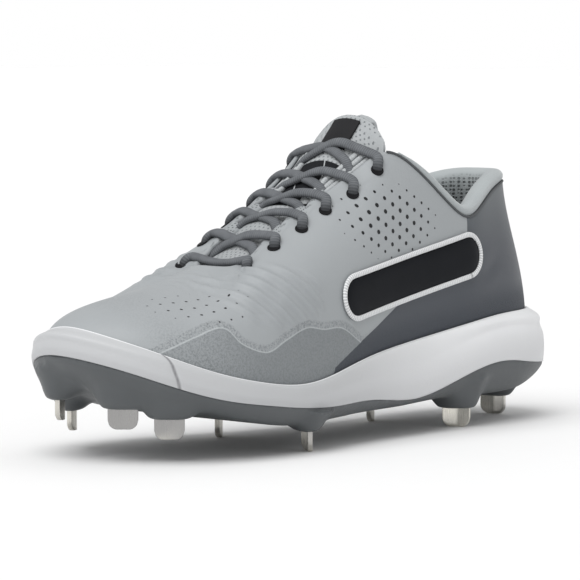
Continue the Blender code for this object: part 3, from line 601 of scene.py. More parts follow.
class Finish:
    """A material whose nodes are added by short calls, most of which return a value."""

    def __init__(self, name, colour, roughness, **inputs):
        self.material = bpy.data.materials.new(name)
        self.material.use_nodes = True
        self.nodes = self.material.node_tree.nodes
        self.links = self.material.node_tree.links
        self.look(base_color=colour, roughness=roughness, **inputs)

    def look(self, **inputs):
        """Sets inputs of the surface by their names in small letters, and gives the material."""
        surface = self.nodes["Principled BSDF"].inputs
        for name, value in inputs.items():
            self.set(surface[name.replace("_", " ").title().replace("Ior", "IOR")], value)
        return self.material

    def set(self, socket, value):
        """Gives an input a value, a number or a colour."""
        if isinstance(value, Value):
            self.links.new(value.socket, socket)
        elif isinstance(value, (tuple, list)) and len(value) == 3 and socket.type == "RGBA":
            socket.default_value = (*value, 1.0)
        else:
            socket.default_value = value

    def add(self, kind, output, inputs, **settings):
        """Adds a node and gives one of its outputs."""
        node = self.nodes.new(kind)
        for name, value in settings.items():
            setattr(node, name, value)
        for name, value in inputs.items():
            self.set(node.inputs[name], value)
        return Value(self, node.outputs[output])

    def calc(self, operation, *values):
        """One step of arithmetic."""
        return self.add("ShaderNodeMath", 0, dict(enumerate(values)), operation=operation)

    def most(self, first, *others):
        """The largest of several values."""
        for other in others:
            first = self.calc("MAXIMUM", first, other)
        return first

    def wave(self, value):
        """A sine wave between 0 and 1."""
        return 0.5 + self.calc("SINE", value) * 0.5

    def field(self, name):
        """A field of the piece's points."""
        return self.add("ShaderNodeAttribute", "Fac", {}, attribute_name=name)

    def place(self):
        """The point's place in metres."""
        return self.add("ShaderNodeTexCoord", "Object", {})

    def axis(self, letter):
        """One part of the point's place, in millimetres."""
        return self.add("ShaderNodeSeparateXYZ", letter, {0: self.place()}) * (1 / MM)

    def step(self, value, low, high):
        """0 at low, 1 at high, softly between."""
        inputs = {"Value": value, "From Min": low, "From Max": high}
        return self.add("ShaderNodeMapRange", 0, inputs, interpolation_type="SMOOTHSTEP")

    def mix(self, share, low, high):
        """A colour between two others."""
        return self.add("ShaderNodeMix", 2, {0: share, 6: low, 7: high}, data_type="RGBA")

    def layers(self, colour, *coats):
        """Coats of colour laid over each other: (share, colour)."""
        for share, coat in coats:
            colour = self.mix(share, colour, coat)
        return colour

    def noise(self, scale, detail=3.0, rough=0.55, place=None):
        """Soft grains, scale to the metre."""
        inputs = {"Vector": place or self.place(), "Scale": scale, "Detail": detail, "Roughness": rough}
        return self.add("ShaderNodeTexNoise", "Fac", inputs)

    def cells(self, scale, jitter):
        """Distance from the middles of cells, scale to the metre."""
        inputs = {"Vector": self.place(), "Scale": scale, "Randomness": jitter}
        return self.add("ShaderNodeTexVoronoi", "Distance", inputs)

    def stretched(self, scale):
        """The point's place, scaled along each axis."""
        return self.add("ShaderNodeMapping", 0, {"Vector": self.place(), "Scale": scale})

    def bump(self, *layers):
        """Bumps laid over each other: (height, distance in metres)."""
        under = {}
        for height, distance in layers:
            inputs = {"Height": height, "Distance": distance, "Strength": 1.0, **under}
            under = {"Normal": self.add("ShaderNodeBump", 0, inputs)}
        self.look(normal=under["Normal"])

    def dots(self, grid, along, up, radius):
        """1 inside the round dots of a slanted grid."""
        pitch, shear, origin = DOT_GRIDS[grid]
        softness = 0.048 * pitch[1]
        row = (up - origin[1]) / pitch[1]
        nearest_row = self.calc("ROUND", row)
        column = (along - origin[0] - nearest_row * shear) / pitch[0]
        across = (column - self.calc("ROUND", column)) * pitch[0]
        rise = (row - nearest_row) * pitch[1]
        away = self.calc("SQRT", across * across + rise * rise)
        return 1 - self.step(away - radius, -softness, 0.0)


def upper_finish():
    """Light grey synthetic skin, a rough film round the forefoot and a dark panel at the heel."""
    f = Finish("upper_skin", (0.33, 0.35, 0.36), 0.5, specular_ior_level=0.35)
    y, z = f.axis("Y"), f.axis("Z")
    film = f.field("film")
    in_film, in_panel = f.step(film, -0.15, 0.15), f.step(f.field("panel"), -0.12, 0.12)
    broad, speckle = f.noise(28.0, 2.0), f.noise(1150.0, 4.0, 0.75)
    film_share = 0.45 + f.step(y, -112.0, -72.0) * 0.55
    near_seam = f.step(film, -3.6, -2.6) * 0.75
    near_rim = (1 - f.step(f.field("foot"), 3.0, 15.0)) * f.step(y, -130.0, -104.0)
    rough_share = f.most(near_seam, near_rim * 0.9, in_film * 0.35)
    shade = f.mix(f.step(z + broad * 14.0, 82.0, 126.0), (0.057, 0.064, 0.077), (0.118, 0.133, 0.141))
    seam = (1 - f.step(f.calc("ABSOLUTE", film), 0.15, 0.42)) * (1 - in_panel)
    # punched holes, painted near-black: painted shade in the holes, which are only dented
    punched = f.most(
        f.dots("holes", y, z, f.field("holes") * 1.05),
        f.dots("slots", f.field("slot_run") * 0.32, f.field("slot_row"), f.field("slots") * 0.62),
        f.dots("vamp", y, f.field("vamp_row"), f.field("vamp") * 0.64),
        f.dots("tabs", f.field("around"), f.field("edge"), f.field("tabs") * 0.46) * 0.8,
    )
    skin = f.layers(
        f.mix(broad, (0.322, 0.342, 0.354), (0.355, 0.373, 0.385)),
        (in_film * film_share, (0.240, 0.257, 0.267)),
        (rough_share * f.step(speckle, 0.44, 0.60), (0.190, 0.205, 0.213)),
        (in_panel, shade),
        (seam * 0.6, (0.50, 0.53, 0.54)),
        # painted shade in the punched holes
        (punched, (0.010, 0.011, 0.012)),
    )
    grain = f.noise(1500.0, 4.0, 0.6)
    f.bump((grain, 0.00010), (speckle * (0.05 + rough_share), 0.0004), (punched * -1.0, 0.0006))
    return f.look(base_color=skin, roughness=0.46 + rough_share * 0.25 - in_panel * 0.04)


def cloth_finish(name, dark, light, pitch):
    """Knitted mesh cloth: small round holes in rows over a fine thread."""
    f = Finish(name, light, 0.85, sheen_weight=0.25, sheen_roughness=0.5)
    open_share = 1 - f.step(f.cells(1.0 / pitch, 0.15), 0.20, 0.42)
    colour = f.mix(f.noise(60.0, 2.0), light, tuple(0.86 * c for c in light))
    f.bump((f.noise(4200.0), 0.0001), (open_share * -1.0, 0.0004))
    return f.look(base_color=f.mix(open_share, colour, dark))


def collar_finish():
    """Smooth light knit on the roll, open honeycomb mesh inside."""
    f = Finish("collar_cloth", (0.4, 0.4, 0.4), 0.8, sheen_weight=0.3)
    open_share = (1 - f.step(f.cells(560.0, 0.12), 0.26, 0.50)) * f.field("inside")
    light = f.mix(f.noise(60.0, 2.0), (0.40, 0.43, 0.435), (0.33, 0.36, 0.37))
    f.bump((f.noise(3800.0), 0.0001), (open_share * -1.0, 0.0005))
    return f.look(base_color=f.mix(open_share, light, (0.085, 0.093, 0.098)))


def tongue_finish():
    """Light dotted mesh with fine upright pleats, and a black panel under the upper laces."""
    f = Finish("tongue_mesh", (0.42, 0.44, 0.45), 0.85, specular_ior_level=0.2)
    rise, across = f.field("rise"), f.field("across")
    dots = f.dots("tongue", across, rise, 0.46) * f.step(f.field("front"), 0.8, 1.0)
    pleats = f.wave(across * 3.9) * f.step(f.field("top"), 58.0, 66.0)
    light = f.layers(
        f.mix(f.noise(60.0, 2.0), (0.44, 0.455, 0.465), (0.37, 0.39, 0.40)),
        (pleats * 0.35, (0.27, 0.285, 0.295)),
        (dots * 0.65, (0.13, 0.145, 0.155)),
    )
    ripple = f.calc("SINE", across * 0.42 + rise * 0.22)
    dark = f.mix(f.step(ripple, 0.985, 0.997), (0.010, 0.011, 0.013), (0.45, 0.47, 0.48))
    f.bump((f.noise(4200.0), 0.0001), (pleats * 0.5 - dots, 0.0004))
    return f.look(base_color=f.mix(f.step(f.field("black"), -0.2, 0.2), light, dark))


def foam_finish():
    """White moulded foam, satin skin; painted shade greys the toe and foot, painted highlight on the top
    edge.
    """
    f = Finish("midsole_foam", (0.7, 0.7, 0.72), 0.45, specular_ior_level=0.3)
    height = f.field("height")
    joint = 1 - f.step(f.field("joint"), 0.1, 1.1)
    tint = f.layers(
        # painted shade: the foam goes greyer from the heel towards the toe
        f.mix(f.step(f.axis("Y"), -50.0, 80.0), (0.500, 0.510, 0.520), (0.860, 0.868, 0.880)),
        (f.noise(35.0, 2.0) * 0.3, (0.56, 0.565, 0.575)),
        # painted shade: darker along the foam's foot, away from the light above
        ((1 - f.step(height, 0.05, 0.85)) * 0.45, (0.45, 0.455, 0.47)),
        # painted highlight: lighter along the foam's top edge
        (f.step(height, 0.86, 0.97), (0.80, 0.81, 0.82)),
        (joint * 0.9, (0.20, 0.20, 0.21)),
    )
    f.bump((f.noise(900.0, 4.0), 0.00006))
    return f.look(base_color=tint)


def plate_finish():
    """Dark grey moulded plastic with a fine spark texture."""
    f = Finish("outsole_plate", (0.09, 0.10, 0.105), 0.4, specular_ior_level=0.45)
    tint = f.mix(f.noise(45.0), (0.070, 0.077, 0.082), (0.100, 0.108, 0.113))
    f.bump((f.noise(2600.0), 0.00008))
    return f.look(base_color=tint, roughness=0.38 + f.noise(300.0, 4.0) * 0.16)


def steel_finish():
    """Brushed steel, warm cream over broad patches and darker grey in others."""
    f = Finish("spike_steel", (0.45, 0.44, 0.41), 0.28, metallic=1.0)
    brush = f.noise(2400.0, 3.0, 0.6, f.stretched((1.0, 1.0, 0.04)))
    tint = f.mix(f.noise(110.0, 4.0, 0.6), (0.88, 0.85, 0.76), (0.46, 0.45, 0.43))
    tint = f.mix(f.step(f.noise(24.0, 1.0), 0.48, 0.66), tint, (0.36, 0.355, 0.35))
    f.bump((brush, 0.00004))
    return f.look(base_color=tint, roughness=0.18 + brush * 0.22)


def lace_finish(name, dark, light, pitch):
    """A woven cord with fine ribs across it, painted lighter on top and shaded at its sides, in painted
    shadow where it goes into a hole.
    """
    f = Finish(name, light, 0.85, specular_ior_level=0.2)
    turn = f.field("turn")
    ribs = f.wave((f.field("run") + f.calc("SINE", turn) * 0.25) * (2 * math.pi / pitch))
    # painted light and shade: lighter along the cord's top, darker at its sides, over the ribs and grains
    shade = ribs * 0.26 + f.noise(260.0) * 0.44 + f.wave(turn) * 0.30
    f.bump((ribs, 0.00014), (f.noise(4200.0), 0.00010))
    # painted shadow: near-black where the lace goes into an eyelet
    return f.look(base_color=f.mix(f.field("eyelet_shade"), f.mix(shade, dark, light), (0.006, 0.006, 0.007)))


def stitch_finish():
    """White satin stitches laid side by side."""
    f = Finish("white_stitch", (0.8, 0.8, 0.8), 0.6, sheen_weight=0.2)
    thread = f.wave(f.field("run") * 5.2)
    f.bump((thread, 0.0002))
    return f.look(base_color=f.mix(thread, (0.52, 0.53, 0.54), (0.84, 0.85, 0.86)))


def plain_finish(name):
    """A simple dyed or moulded surface with broad tone changes and a fine grain."""
    dark, light, roughness, grain, depth, shine = PLAIN_SURFACES[name]
    f = Finish(name, light, roughness, specular_ior_level=shine)
    f.bump((f.noise(grain, 4.0, 0.6), depth))
    return f.look(base_color=f.mix(f.noise(90.0), dark, light))


def tab_reach(station):
    """How far the throat's edge reaches in between two of the lower eyelets, in metres."""
    numbers = np.arange(len(EYELET_ROWS))
    turns = np.interp(folded(station), [row[0] for row in EYELET_ROWS], numbers)
    return TAB_REACH * smooth(turns, 1.9, 2.3) * np.abs(np.sin(math.pi * turns)) ** 0.8


def tab_bend(beyond):
    """How far a tab bends down onto the tongue, beyond the throat's edge, in millimetres."""
    return 0.5 * (np.sqrt(beyond**2 + 4.0) - 2.0)


def rib_relief(y, z, start, way, pitch, depth):
    """Soft parallel ribs across a wall: start is a point on one, way its direction."""
    way = np.array(way) / np.linalg.norm(way)
    across = ((y - start[0]) * way[1] - (z - start[1]) * way[0]) / pitch
    return depth * (0.5 + 0.5 * np.cos(2 * math.pi * across)) ** 1.5


def soft_patch(y, z, centre, reach):
    """1 in the middle of an oval patch of the wall, 0 outside it."""
    away = ((y - centre[0]) / reach[0]) ** 2 + ((z - centre[1]) / reach[1]) ** 2
    return 1 - smooth(away, 0.55, 1.15)


def medial_patch(x, y, z, edge):
    """1 where the inner side's quarter has its ribs, 0 away from them."""
    return soft_patch(y, z, MEDIAL_RIB, (44.0, 30.0)) * smooth(-x, 2.0, 8.0) * smooth(edge, 8.0, 12.0)


def crease_relief(y, z):
    """Troughs with a low ridge on either side."""
    total = np.zeros_like(y)
    for cy, cz, half, slope, depth, width in CREASES:
        c, s = math.cos(math.radians(slope)), math.sin(math.radians(slope))
        along = (y - cy) * c + (z - cz) * s
        across = ((y - cy) * s - (z - cz) * c) / width
        fade = np.exp(-((along / half) ** 2) * 1.5)
        total += depth * fade * (0.45 * bell(np.abs(across) - 1.9) - bell(across))
    return total


def pleat_relief(x, y):
    """Fine pleats across the toe, in front of the lowest lace."""
    fade = bell((x - 1.0) / 13.0) * smooth(-y, 66.0, 70.0) * smooth(y, -92.0, -82.0)
    return 0.22 * fade * np.sin(2 * math.pi * (y + 0.02 * x**2) / 4.6)


def upper_relief(x, y, z, throat, marks):
    """How far the upper's face stands out from the plain wall, in millimetres."""
    edge, foot = marks["edge"], marks["foot"]
    lateral, medial = smooth(x, 2.0, 8.0), smooth(-x, 2.0, 8.0)
    relief = 0.25 * smooth(marks["film"], -0.5, 0.3) + 0.30 * smooth(marks["panel"], -0.5, 0.3)
    relief += 0.25 * throat * smooth(-edge, -12.5, -11.5) * smooth(foot, 8.0, 12.0)
    front = soft_patch(y, z, (-57.0, 67.0), (26.0, 14.0)) * lateral * smooth(edge, 9.0, 14.0)
    relief += front * rib_relief(y, z, (-58.3, 68.7), (10.7, -11.6), 6.5, 1.6)
    relief += medial_patch(x, y, z, edge) * rib_relief(y, z, MEDIAL_RIB, MEDIAL_WAY, 5.9, 1.0)
    toe = soft_patch(y, z, TOE_RIB, (26.0, 18.0)) * medial
    relief += toe * rib_relief(y, z, TOE_RIB, TOE_WAY, 6.0, 0.85)
    relief += crease_relief(y, z) + pleat_relief(x, y)
    return relief * smooth(edge, 0.0, 1.2) * smooth(foot, -1.0, 1.0)


def upper_marks(x, y, z, edge, foot):
    """What the skin's colours and holes follow: distances in millimetres, and shares of full size."""
    side_view = np.stack([y, z], -1)
    lateral = smooth(x, 2.0, 8.0)
    (hole_y, hole_z), hole_reach = HOLE_PATCH
    holes = 1.25 * (1 - ((y - hole_y) / hole_reach[0]) ** 2 - ((z - hole_z) / hole_reach[1]) ** 2)
    beside = x - np.interp(y, *np.transpose(VAMP_ROW))
    vamp_row = beside * (1 + 0.02 * np.clip(beside, 0, None))
    vamp_y, reach = VAMP_PATCH
    vamp = 1.4 * (1 - ((y - vamp_y - 0.45 * vamp_row) / reach[0]) ** 2 - (vamp_row / reach[1]) ** 2)
    way = np.array(MEDIAL_WAY) / math.hypot(*MEDIAL_WAY)
    forward, up = y - MEDIAL_RIB[0], z - MEDIAL_RIB[1]
    return {
        "film": signed_distance(side_view, area_under(FILM_LINE)),
        "panel": signed_distance(side_view, [*PANEL_LINE, (400.0, 150.0), (400.0, -80.0), (-60.0, -80.0)]),
        "edge": edge,
        "foot": foot,
        "holes": np.clip(holes, 0, 1) ** 0.6 * lateral,
        "vamp": np.clip(vamp, 0, 1) ** 0.4 * lateral,
        "vamp_row": vamp_row,
        "slots": medial_patch(x, y, z, edge) * smooth(edge, 12.0, 14.0),
        "slot_run": forward * way[0] + up * way[1],
        "slot_row": up * way[0] - forward * way[1],
    }


def build_upper(finish):
    """The upper's skin: outer face, rounded top edge and inner face as one closed wall."""
    u = even_stations(UPPER_STATIONS)
    rim = share_at_height(u, level("rim", u))[:, None]
    u = u[:, None]
    rib_length = np.linalg.norm(wall(u, 1.0) - wall(u, 0.97), axis=-1) / 0.03
    tab = tab_reach(u)
    top, low = 1 + tab / rib_length, 0.93 * rim
    shares = [rim * np.linspace(0, 0.8, 3), low + (top - low) * np.linspace(0, 1, 96)]
    shares = np.concatenate(shares, axis=1)
    outer, normal = wall(u, shares), wall_normal(u, shares)
    x, y, z = np.moveaxis(outer / MM, -1, 0)
    edge = (top - shares) * rib_length / MM
    marks = upper_marks(x, y, z, edge, z - level("rim", u) / MM)
    marks["around"] = run_along(wall(u[:, 0], 1.0))[:, None] / MM + 0 * edge
    marks["tabs"] = smooth(tab, 0.0001, 0.0006) * smooth(-edge, -7.6, -6.6)
    relief = upper_relief(x, y, z, smooth(folded(u), 7.1, 7.5), marks)
    relief -= tab_bend(np.clip(tab / MM - edge, 0, None))
    outer = outer + normal * (relief * MM)[..., None]
    tip = outer[:, -1] + (outer[:, -1] - outer[:, -2]) * 0.5 - normal[:, -1] * 0.4 * UPPER_WALL
    drop = np.linspace(0, 1, 9)
    sag = np.clip(tab - drop * (top * rib_length), 0, None) / MM
    inner = wall(u, top * (1 - drop), -0.7 * UPPER_WALL - tab_bend(sag) * MM)
    points = np.concatenate([outer, tip[:, None], inner], axis=1)
    beyond = ((0, 0), (0, points.shape[1] - edge.shape[1]))
    fields = {name: np.pad(values, beyond, "edge") for name, values in marks.items()}
    faces = grid_faces(*points.shape[:2], close_rows=True, close_columns=True)
    return piece("upper_skin", points, faces, finish, "upper", "upper", fields=fields)


def sole_ring(stations, inset, heights):
    """A ring of points round the sole, moved inwards from its edge."""
    plan, _ = outline(stations, inset)
    return np.concatenate([plan, heights[:, None]], axis=1) + SHIFT


def tuck_at(stations, share):
    """How far the plate's side tucks in under the shoe, at a share of its height."""
    return TRAY_STEP + at("tuck", stations) * SIDE_FLARE * (1 - share) ** 1.7


def foam_relief(y, share, joint):
    """Troughs and swells along the foam's side, in millimetres."""
    heel = smooth(y, 30.0, 95.0)
    waist = smooth(y, -60.0, -10.0) * smooth(-y, -70.0, -25.0)
    relief = -0.9 * heel * bell((share - 0.50 + 0.05 * np.sin(y / 22.0)) / 0.075)
    relief += 0.5 * heel * bell((share - 0.66) / 0.10)
    relief -= 0.9 * waist * bell((share - 0.42) / 0.16) + 0.5 * bell(joint / 1.3)
    return relief * smooth(share, 0.0, 0.12) * smooth(-share, -0.98, -0.85)


def build_midsole(finish):
    """The white foam cup, with its bulging side, rolled lip, joint and sculpted crease."""
    u = even_stations(MIDSOLE_STATIONS)
    line, rim = level("line", u), level("rim", u)
    rim_share = share_at_height(u, rim)
    lip, crest = wall(u, rim_share, GAP + RIM_LIP), wall(u, rim_share, GAP + 0.45 * RIM_LIP)
    lip[:, 2] = rim - LIP_DROP
    crest[:, 2] = rim + LIP_CREST
    side = [
        sole_ring(u, 0.5 * TRAY_STEP, line + GAP),
        sole_ring(u, 0.0, line + 0.28 * (rim - line)),
        sole_ring(u, 0.05 * SIDE_FLARE, line + 0.55 * (rim - line)),
        sole_ring(u, 0.24 * at("inset", u) * SIDE_FLARE, line + 0.82 * (rim - line)),
        lip,
        crest,
    ]
    side = refine(side, 8)
    share = np.linspace(0, 1, len(side))[:, None]
    y = side[..., 1] / MM
    joint = np.abs(y + 121.5 - 4.0 * (1 - share)) + 40.0 * (side[..., 0] < 0)
    outward = outline(u)[1] * (foam_relief(y, share, joint) * MM)[..., None]
    side[..., :2] += outward
    under = [
        sole_ring(u, tuck_at(u, 0.8) + 3 * RIM_LIP, line - 3 * TRAY_STEP),
        sole_ring(u, tuck_at(u, 1) + RIM_LIP, line + GAP),
    ]
    inner = [wall(u, rim_share * part, GAP) for part in (0.97, 0.5, 0.0)]
    inner[-1][:, 2] = level("bed", u)
    rings = np.concatenate([under, side, inner])
    ends = ((len(under), len(inner)), (0, 0))
    fields = {
        "height": np.pad(share + 0 * y, ends, "edge"),
        "joint": np.pad(joint, ends, constant_values=9.0),
    }
    faces = cup_faces(*rings.shape[:2])
    return piece("midsole_foam", rings, faces, finish, "midsole", "midsole", fields=fields)


def underside_at(x, y):
    """Height of the plate's outer face over plan points, up its tucked side near the edge."""
    u = np.arange(4 * ROUND) / 4
    edge, outward = outline(u)
    offset = edge[None] - np.stack([x, y], -1)[:, None]
    near = np.argmin(np.linalg.norm(offset, axis=-1), axis=1)
    inside = np.einsum("ij,ij->i", offset[np.arange(len(x)), near], outward[near]) - TRAY_STEP
    tuck = at("tuck", u[near]) * SIDE_FLARE
    columns = dict(zip(SOLE_COLUMNS, zip(*SOLE_ROWS)))
    along = 0.5 - y / SOLE_LENGTH
    flat = np.interp(along, columns["along"], columns["under"]) * RIM_HEIGHT + spring_at(along)
    share = np.minimum(0.6, 1 - (np.clip(inside, 0, None) / tuck) ** (1 / 1.7))
    line, under = level("line", u[near]), level("under", u[near])
    raised = np.maximum(flat, under + share * (line - under))
    return np.where(inside >= tuck, flat, raised)


def mound(along, across, turn):
    """Points and faces of the flared pad from the plate down to a spike's root."""
    angle = 2 * math.pi * np.arange(40) / 40
    low = float(spring_at(along)) + SPIKE_LENGTH
    length = SPIKE_WIDTH / 2 + BOSS_WALL
    width = SPIKE_THICKNESS / 2 + SPIKE_FOLD + BOSS_WALL
    rings = []
    for share, flare in MOUND_RINGS:
        reach = BOSS_FLARE * flare
        plan = turned((length + reach) * np.cos(angle), (width + reach) * np.sin(angle), turn)
        x, y = np.transpose(plan + plan_place(along, across))
        high = underside_at(x, y) + 0.4 * PLATE_THICKNESS
        rings.append(np.stack([x, y, low + share * (high - low)], -1))
    return np.concatenate(rings) + SHIFT, tube_faces(len(rings), len(angle))


def eased_plate(mesh):
    """Points of the melted plate, smoothed below the line where the foam starts."""
    points = np.array([v.co for v in mesh.vertices])
    edges = np.array([e.vertices[:] for e in mesh.edges])
    side = np.arange(12 * LAST_ROW) / 12
    line = np.interp(SHIFT[1] - points[:, 1], -outline(side)[0][:, 1], level("line", side))
    weight = 0.65 * smooth(line - points[:, 2], 0.0012, 0.0035)[:, None]
    start, end = edges.ravel(), edges[:, ::-1].ravel()
    count = np.bincount(start)[:, None]
    for _ in range(PLATE_EASING):
        total = np.stack([np.bincount(start, points[end, axis]) for axis in range(3)], -1)
        points += weight * (total / count - points)
    return points


def build_outsole(finish):
    """The plate and its mounds, melted into one smooth moulding."""
    u = even_stations(OUTSOLE_STATIONS)
    under, line = level("under", u), level("line", u)
    rings = [sole_ring(u, tuck_at(u, s), under + s * (line - under)) for s in np.linspace(0, 1, 9)]
    rings.append(sole_ring(u, tuck_at(u, 1), line + TRAY_STEP))
    plate = (np.concatenate(rings), cup_faces(len(rings), len(u)))
    raw = piece("outsole_raw", *joined([plate, *(mound(*row) for row in SPIKE_ROWS)]), finish, "plate")
    melt = raw.modifiers.new("melt", "REMESH")
    melt.mode = "VOXEL"
    melt.voxel_size = PLATE_VOXEL
    bpy.context.view_layer.update()
    mesh = bpy.data.meshes.new_from_object(raw.evaluated_get(bpy.context.evaluated_depsgraph_get()))
    bpy.data.objects.remove(raw)
    faces = [list(p.vertices) for p in mesh.polygons]
    made = piece("outsole_plate", eased_plate(mesh), faces, finish, "plate", "outsole")
    bpy.data.meshes.remove(mesh)
    return made


def build_insole(finish):
    """The liner on the midsole's bed, dished a little across its width."""
    u = even_stations(INSOLE_STATIONS)
    half = len(u) // 2
    z = level("bed", u) + GAP + INSOLE_THICKNESS
    edge = wall(u, share_at_height(u, z), -UPPER_WALL - 3 * GAP)
    share = np.linspace(0, 1, 25)[None, :, None]
    right, left = edge[: half + 1], np.concatenate([edge[:1], edge[: half - 1 : -1]])
    upper = left[:, None] + (right - left)[:, None] * share
    upper[..., 2] = z[: half + 1, None]
    lower = upper - np.array([0.0, 0.0, INSOLE_THICKNESS])
    upper[..., 2] -= INSOLE_DISH * np.sin(math.pi * share[..., 0]) ** 0.5
    made = piece("insole_liner", [upper, lower], slab_faces(*upper.shape[:2]), finish, "lining", "insole")
    return made


def throat_bridge(station, steps, clear, lift=0.0):
    """Points across the open throat at a station: an arc that carries on the wall's slope, and lift."""
    left, right = wall(across_from(station), 1.0, -clear), wall(station, 1.0, -clear)
    slope = math.radians(float(at("pitch", station))) / 2
    half = np.linalg.norm(right - left) / 2
    shares = np.linspace(-1, 1, steps)
    line = left + (right - left) * (shares[:, None] + 1) / 2
    line[:, 2] += (half * math.tan(slope / 2) + lift) * (1 - shares**2)
    return line


def tongue_grid():
    """The tongue's upper face, as the solids have it."""
    clear = UPPER_WALL + 4 * GAP
    rows = []
    for u in np.linspace(TONGUE_TOE, TONGUE_CORNER, 14):
        reach = min(1.0, 0.12 + 0.35 * (u - TONGUE_CORNER))
        lift = TONGUE_ARCH * max(0.0, 1 - (u - TONGUE_CORNER) / 1.9) ** 1.3
        under = 1 - reach * np.array([0.20, 0.13, 0.06])
        medial, lateral = wall(across_from(u), under, -clear), wall(u, under[::-1], -clear)
        rows.append(np.concatenate([medial, throat_bridge(u, 7, clear, lift), lateral]))
    rows.insert(0, rows[0] + TONGUE_TUCK * np.array([0.0, -1.0, -0.55]))
    corner = rows[-1]
    middle = corner[len(corner) // 2]
    across = (corner[:, 0] - SHIFT[0]) / (corner[-1, 0] - SHIFT[0])
    hang = corner[:, 2] - middle[2]
    for rise, width in TONGUE_TOP_ROWS:
        row = np.empty_like(corner)
        row[:, 0] = TONGUE_HALF * width * across + SHIFT[0]
        row[:, 1] = middle[1] + 0.90 * TONGUE_STAND * rise + 0.12 * TONGUE_HALF * (width * across) ** 2
        row[:, 2] = middle[2] + TONGUE_STAND * rise + 0.6 * width**2 * hang
        rows.append(row)
    return np.array(rows)


def eased(rows, rounds):
    """Rows of points or directions smoothed along their run, with the ends held."""
    rows = np.array(rows, float)
    for _ in range(rounds):
        rows[1:-1] = (rows[:-2] + 2 * rows[1:-1] + rows[2:]) / 4
    return rows


def outward_of(grid):
    """Unit normals of a grid of points, pointing up out of the shoe and eased along both its ways."""
    normal = unit(np.cross(np.gradient(grid, axis=1), np.gradient(grid, axis=0)))
    normal *= np.where(normal @ np.array([0.0, -0.5, 1.0]) < 0, -1.0, 1.0)[..., None]
    for _ in range(12):
        normal = eased(eased(normal, 1).transpose(1, 0, 2), 1).transpose(1, 0, 2)
        normal[:, 0], normal[:, -1] = normal[:, 1], normal[:, -2]
        normal[-1] = normal[-2]
    return unit(normal)


def fine_tongue():
    """The tongue's face cut finely, and its normals."""
    grid = refine_across(refine(tongue_grid(), 6), 6)
    return grid, outward_of(grid)


def build_tongue(finish):
    """A padded slab with soft pillows between the lace crossings."""
    grid, normal = fine_tongue()
    columns = np.arange(grid.shape[1])
    taper = np.clip(np.minimum(columns, columns[::-1]) / 18, 0.25, 1.0)[:, None]
    across = grid[..., 0] / MM
    rise = run_along(grid[:, len(columns) // 2])[:, None] / MM + 0 * across
    top = rise[-1] - rise
    panel_top, panel_end, panel_half = BLACK_PANEL
    lobes = [
        np.hypot((across - side) / 0.9, top - place)
        for place in LOBE_TOPS
        for side in (-LOBE_SIDE, LOBE_SIDE)
    ]
    lobes = np.min(lobes, axis=0)
    black = [top - panel_top, panel_end - top, panel_half - np.abs(across), lobes - LOBE_RADIUS]
    black = np.min(black, axis=0)
    pillow = 0.7 * np.sin(math.pi * rise / 12.0) ** 2 * smooth(top, 50.0, 60.0)
    pillow = pillow * (1 - np.linspace(-1, 1, len(columns)) ** 2) + 1.3 * smooth(-lobes, -4.6, -2.0)
    outer = grid + normal * (pillow * MM)[..., None]
    inner = grid - normal * TONGUE_THICKNESS * taper
    fields = {
        "rise": [rise, rise],
        "across": [across, across],
        "top": [top, top],
        "black": [black, 0 * black - 9.0],
        "front": [0 * top + 1.0, 0 * top],
    }
    faces = slab_faces(*grid.shape[:2])
    made = piece("tongue_pad", [outer, inner], faces, finish, "tongue", "tongue", fields=fields)
    return made


def build_label(finish):
    """A bare black band down the front of the tongue from just below its top edge."""
    grid, normal = fine_tongue()
    middle = grid[:, grid.shape[1] // 2, 2]
    top = middle.max() - 0.16 * LABEL_HEIGHT
    rows = np.where((middle < top) & (middle > top - LABEL_HEIGHT))[0]
    across = np.linspace(-LABEL_WIDTH / 2, LABEL_WIDTH / 2, 21)
    patch, out = (
        np.array([[np.interp(across, grid[r, :, 0], values[r, :, k]) for k in range(3)] for r in rows])
        for values in (grid, normal)
    )
    points = np.array([(patch + out * off).transpose(0, 2, 1) for off in LABEL_LIFT])
    faces = slab_faces(*points.shape[1:3])
    return piece("tongue_label_band", points, faces, finish, "label", "tongue_label")


def collar_section(u):
    """Points round the collar's section at a station, signed from the heel."""
    fade = min(1.0, (COLLAR_END - abs(u)) / 1.2 + 0.30)
    pad, roll, clear = COLLAR_PAD * fade, COLLAR_ROLL * fade, UPPER_WALL + GAP
    rib = unit(wall(u, 1.0) - wall(u, 0.96))
    inward = -wall_normal(u, 1.0)
    over = wall(u, 1.0) + rib * GAP * 1.6
    return [
        *(wall(u, share, -clear) for share in (0.56, 0.78, 0.985)),
        over + inward * clear,
        over + inward * GAP,
        over + rib * roll * 0.55 - inward * 2 * GAP,
        over + rib * roll + inward * (0.2 * pad),
        over + rib * roll + inward * (0.62 * pad + 0.3 * UPPER_WALL),
        over + rib * roll * 0.4 + inward * (pad + UPPER_WALL),
        wall(u, 0.90, -clear - pad),
        wall(u, 0.74, -clear - 0.75 * pad),
        wall(u, 0.60, -clear - 0.35 * pad),
    ]


def build_collar(finish):
    """The padded lining rolled over the top edge."""
    sections = [collar_section(u) for u in np.linspace(-COLLAR_END, COLLAR_END, 37)]
    grid = refine_across(refine(sections, 8), 5, closed=True)
    rows, around = grid.shape[:2]
    inside = smooth(np.arange(around) / 5, 7.6, 8.6) + np.zeros((rows, 1))
    faces = tube_faces(rows, around)
    made = piece("collar_pad", grid, faces, finish, "lining", "collar", fields={"inside": inside})
    return made


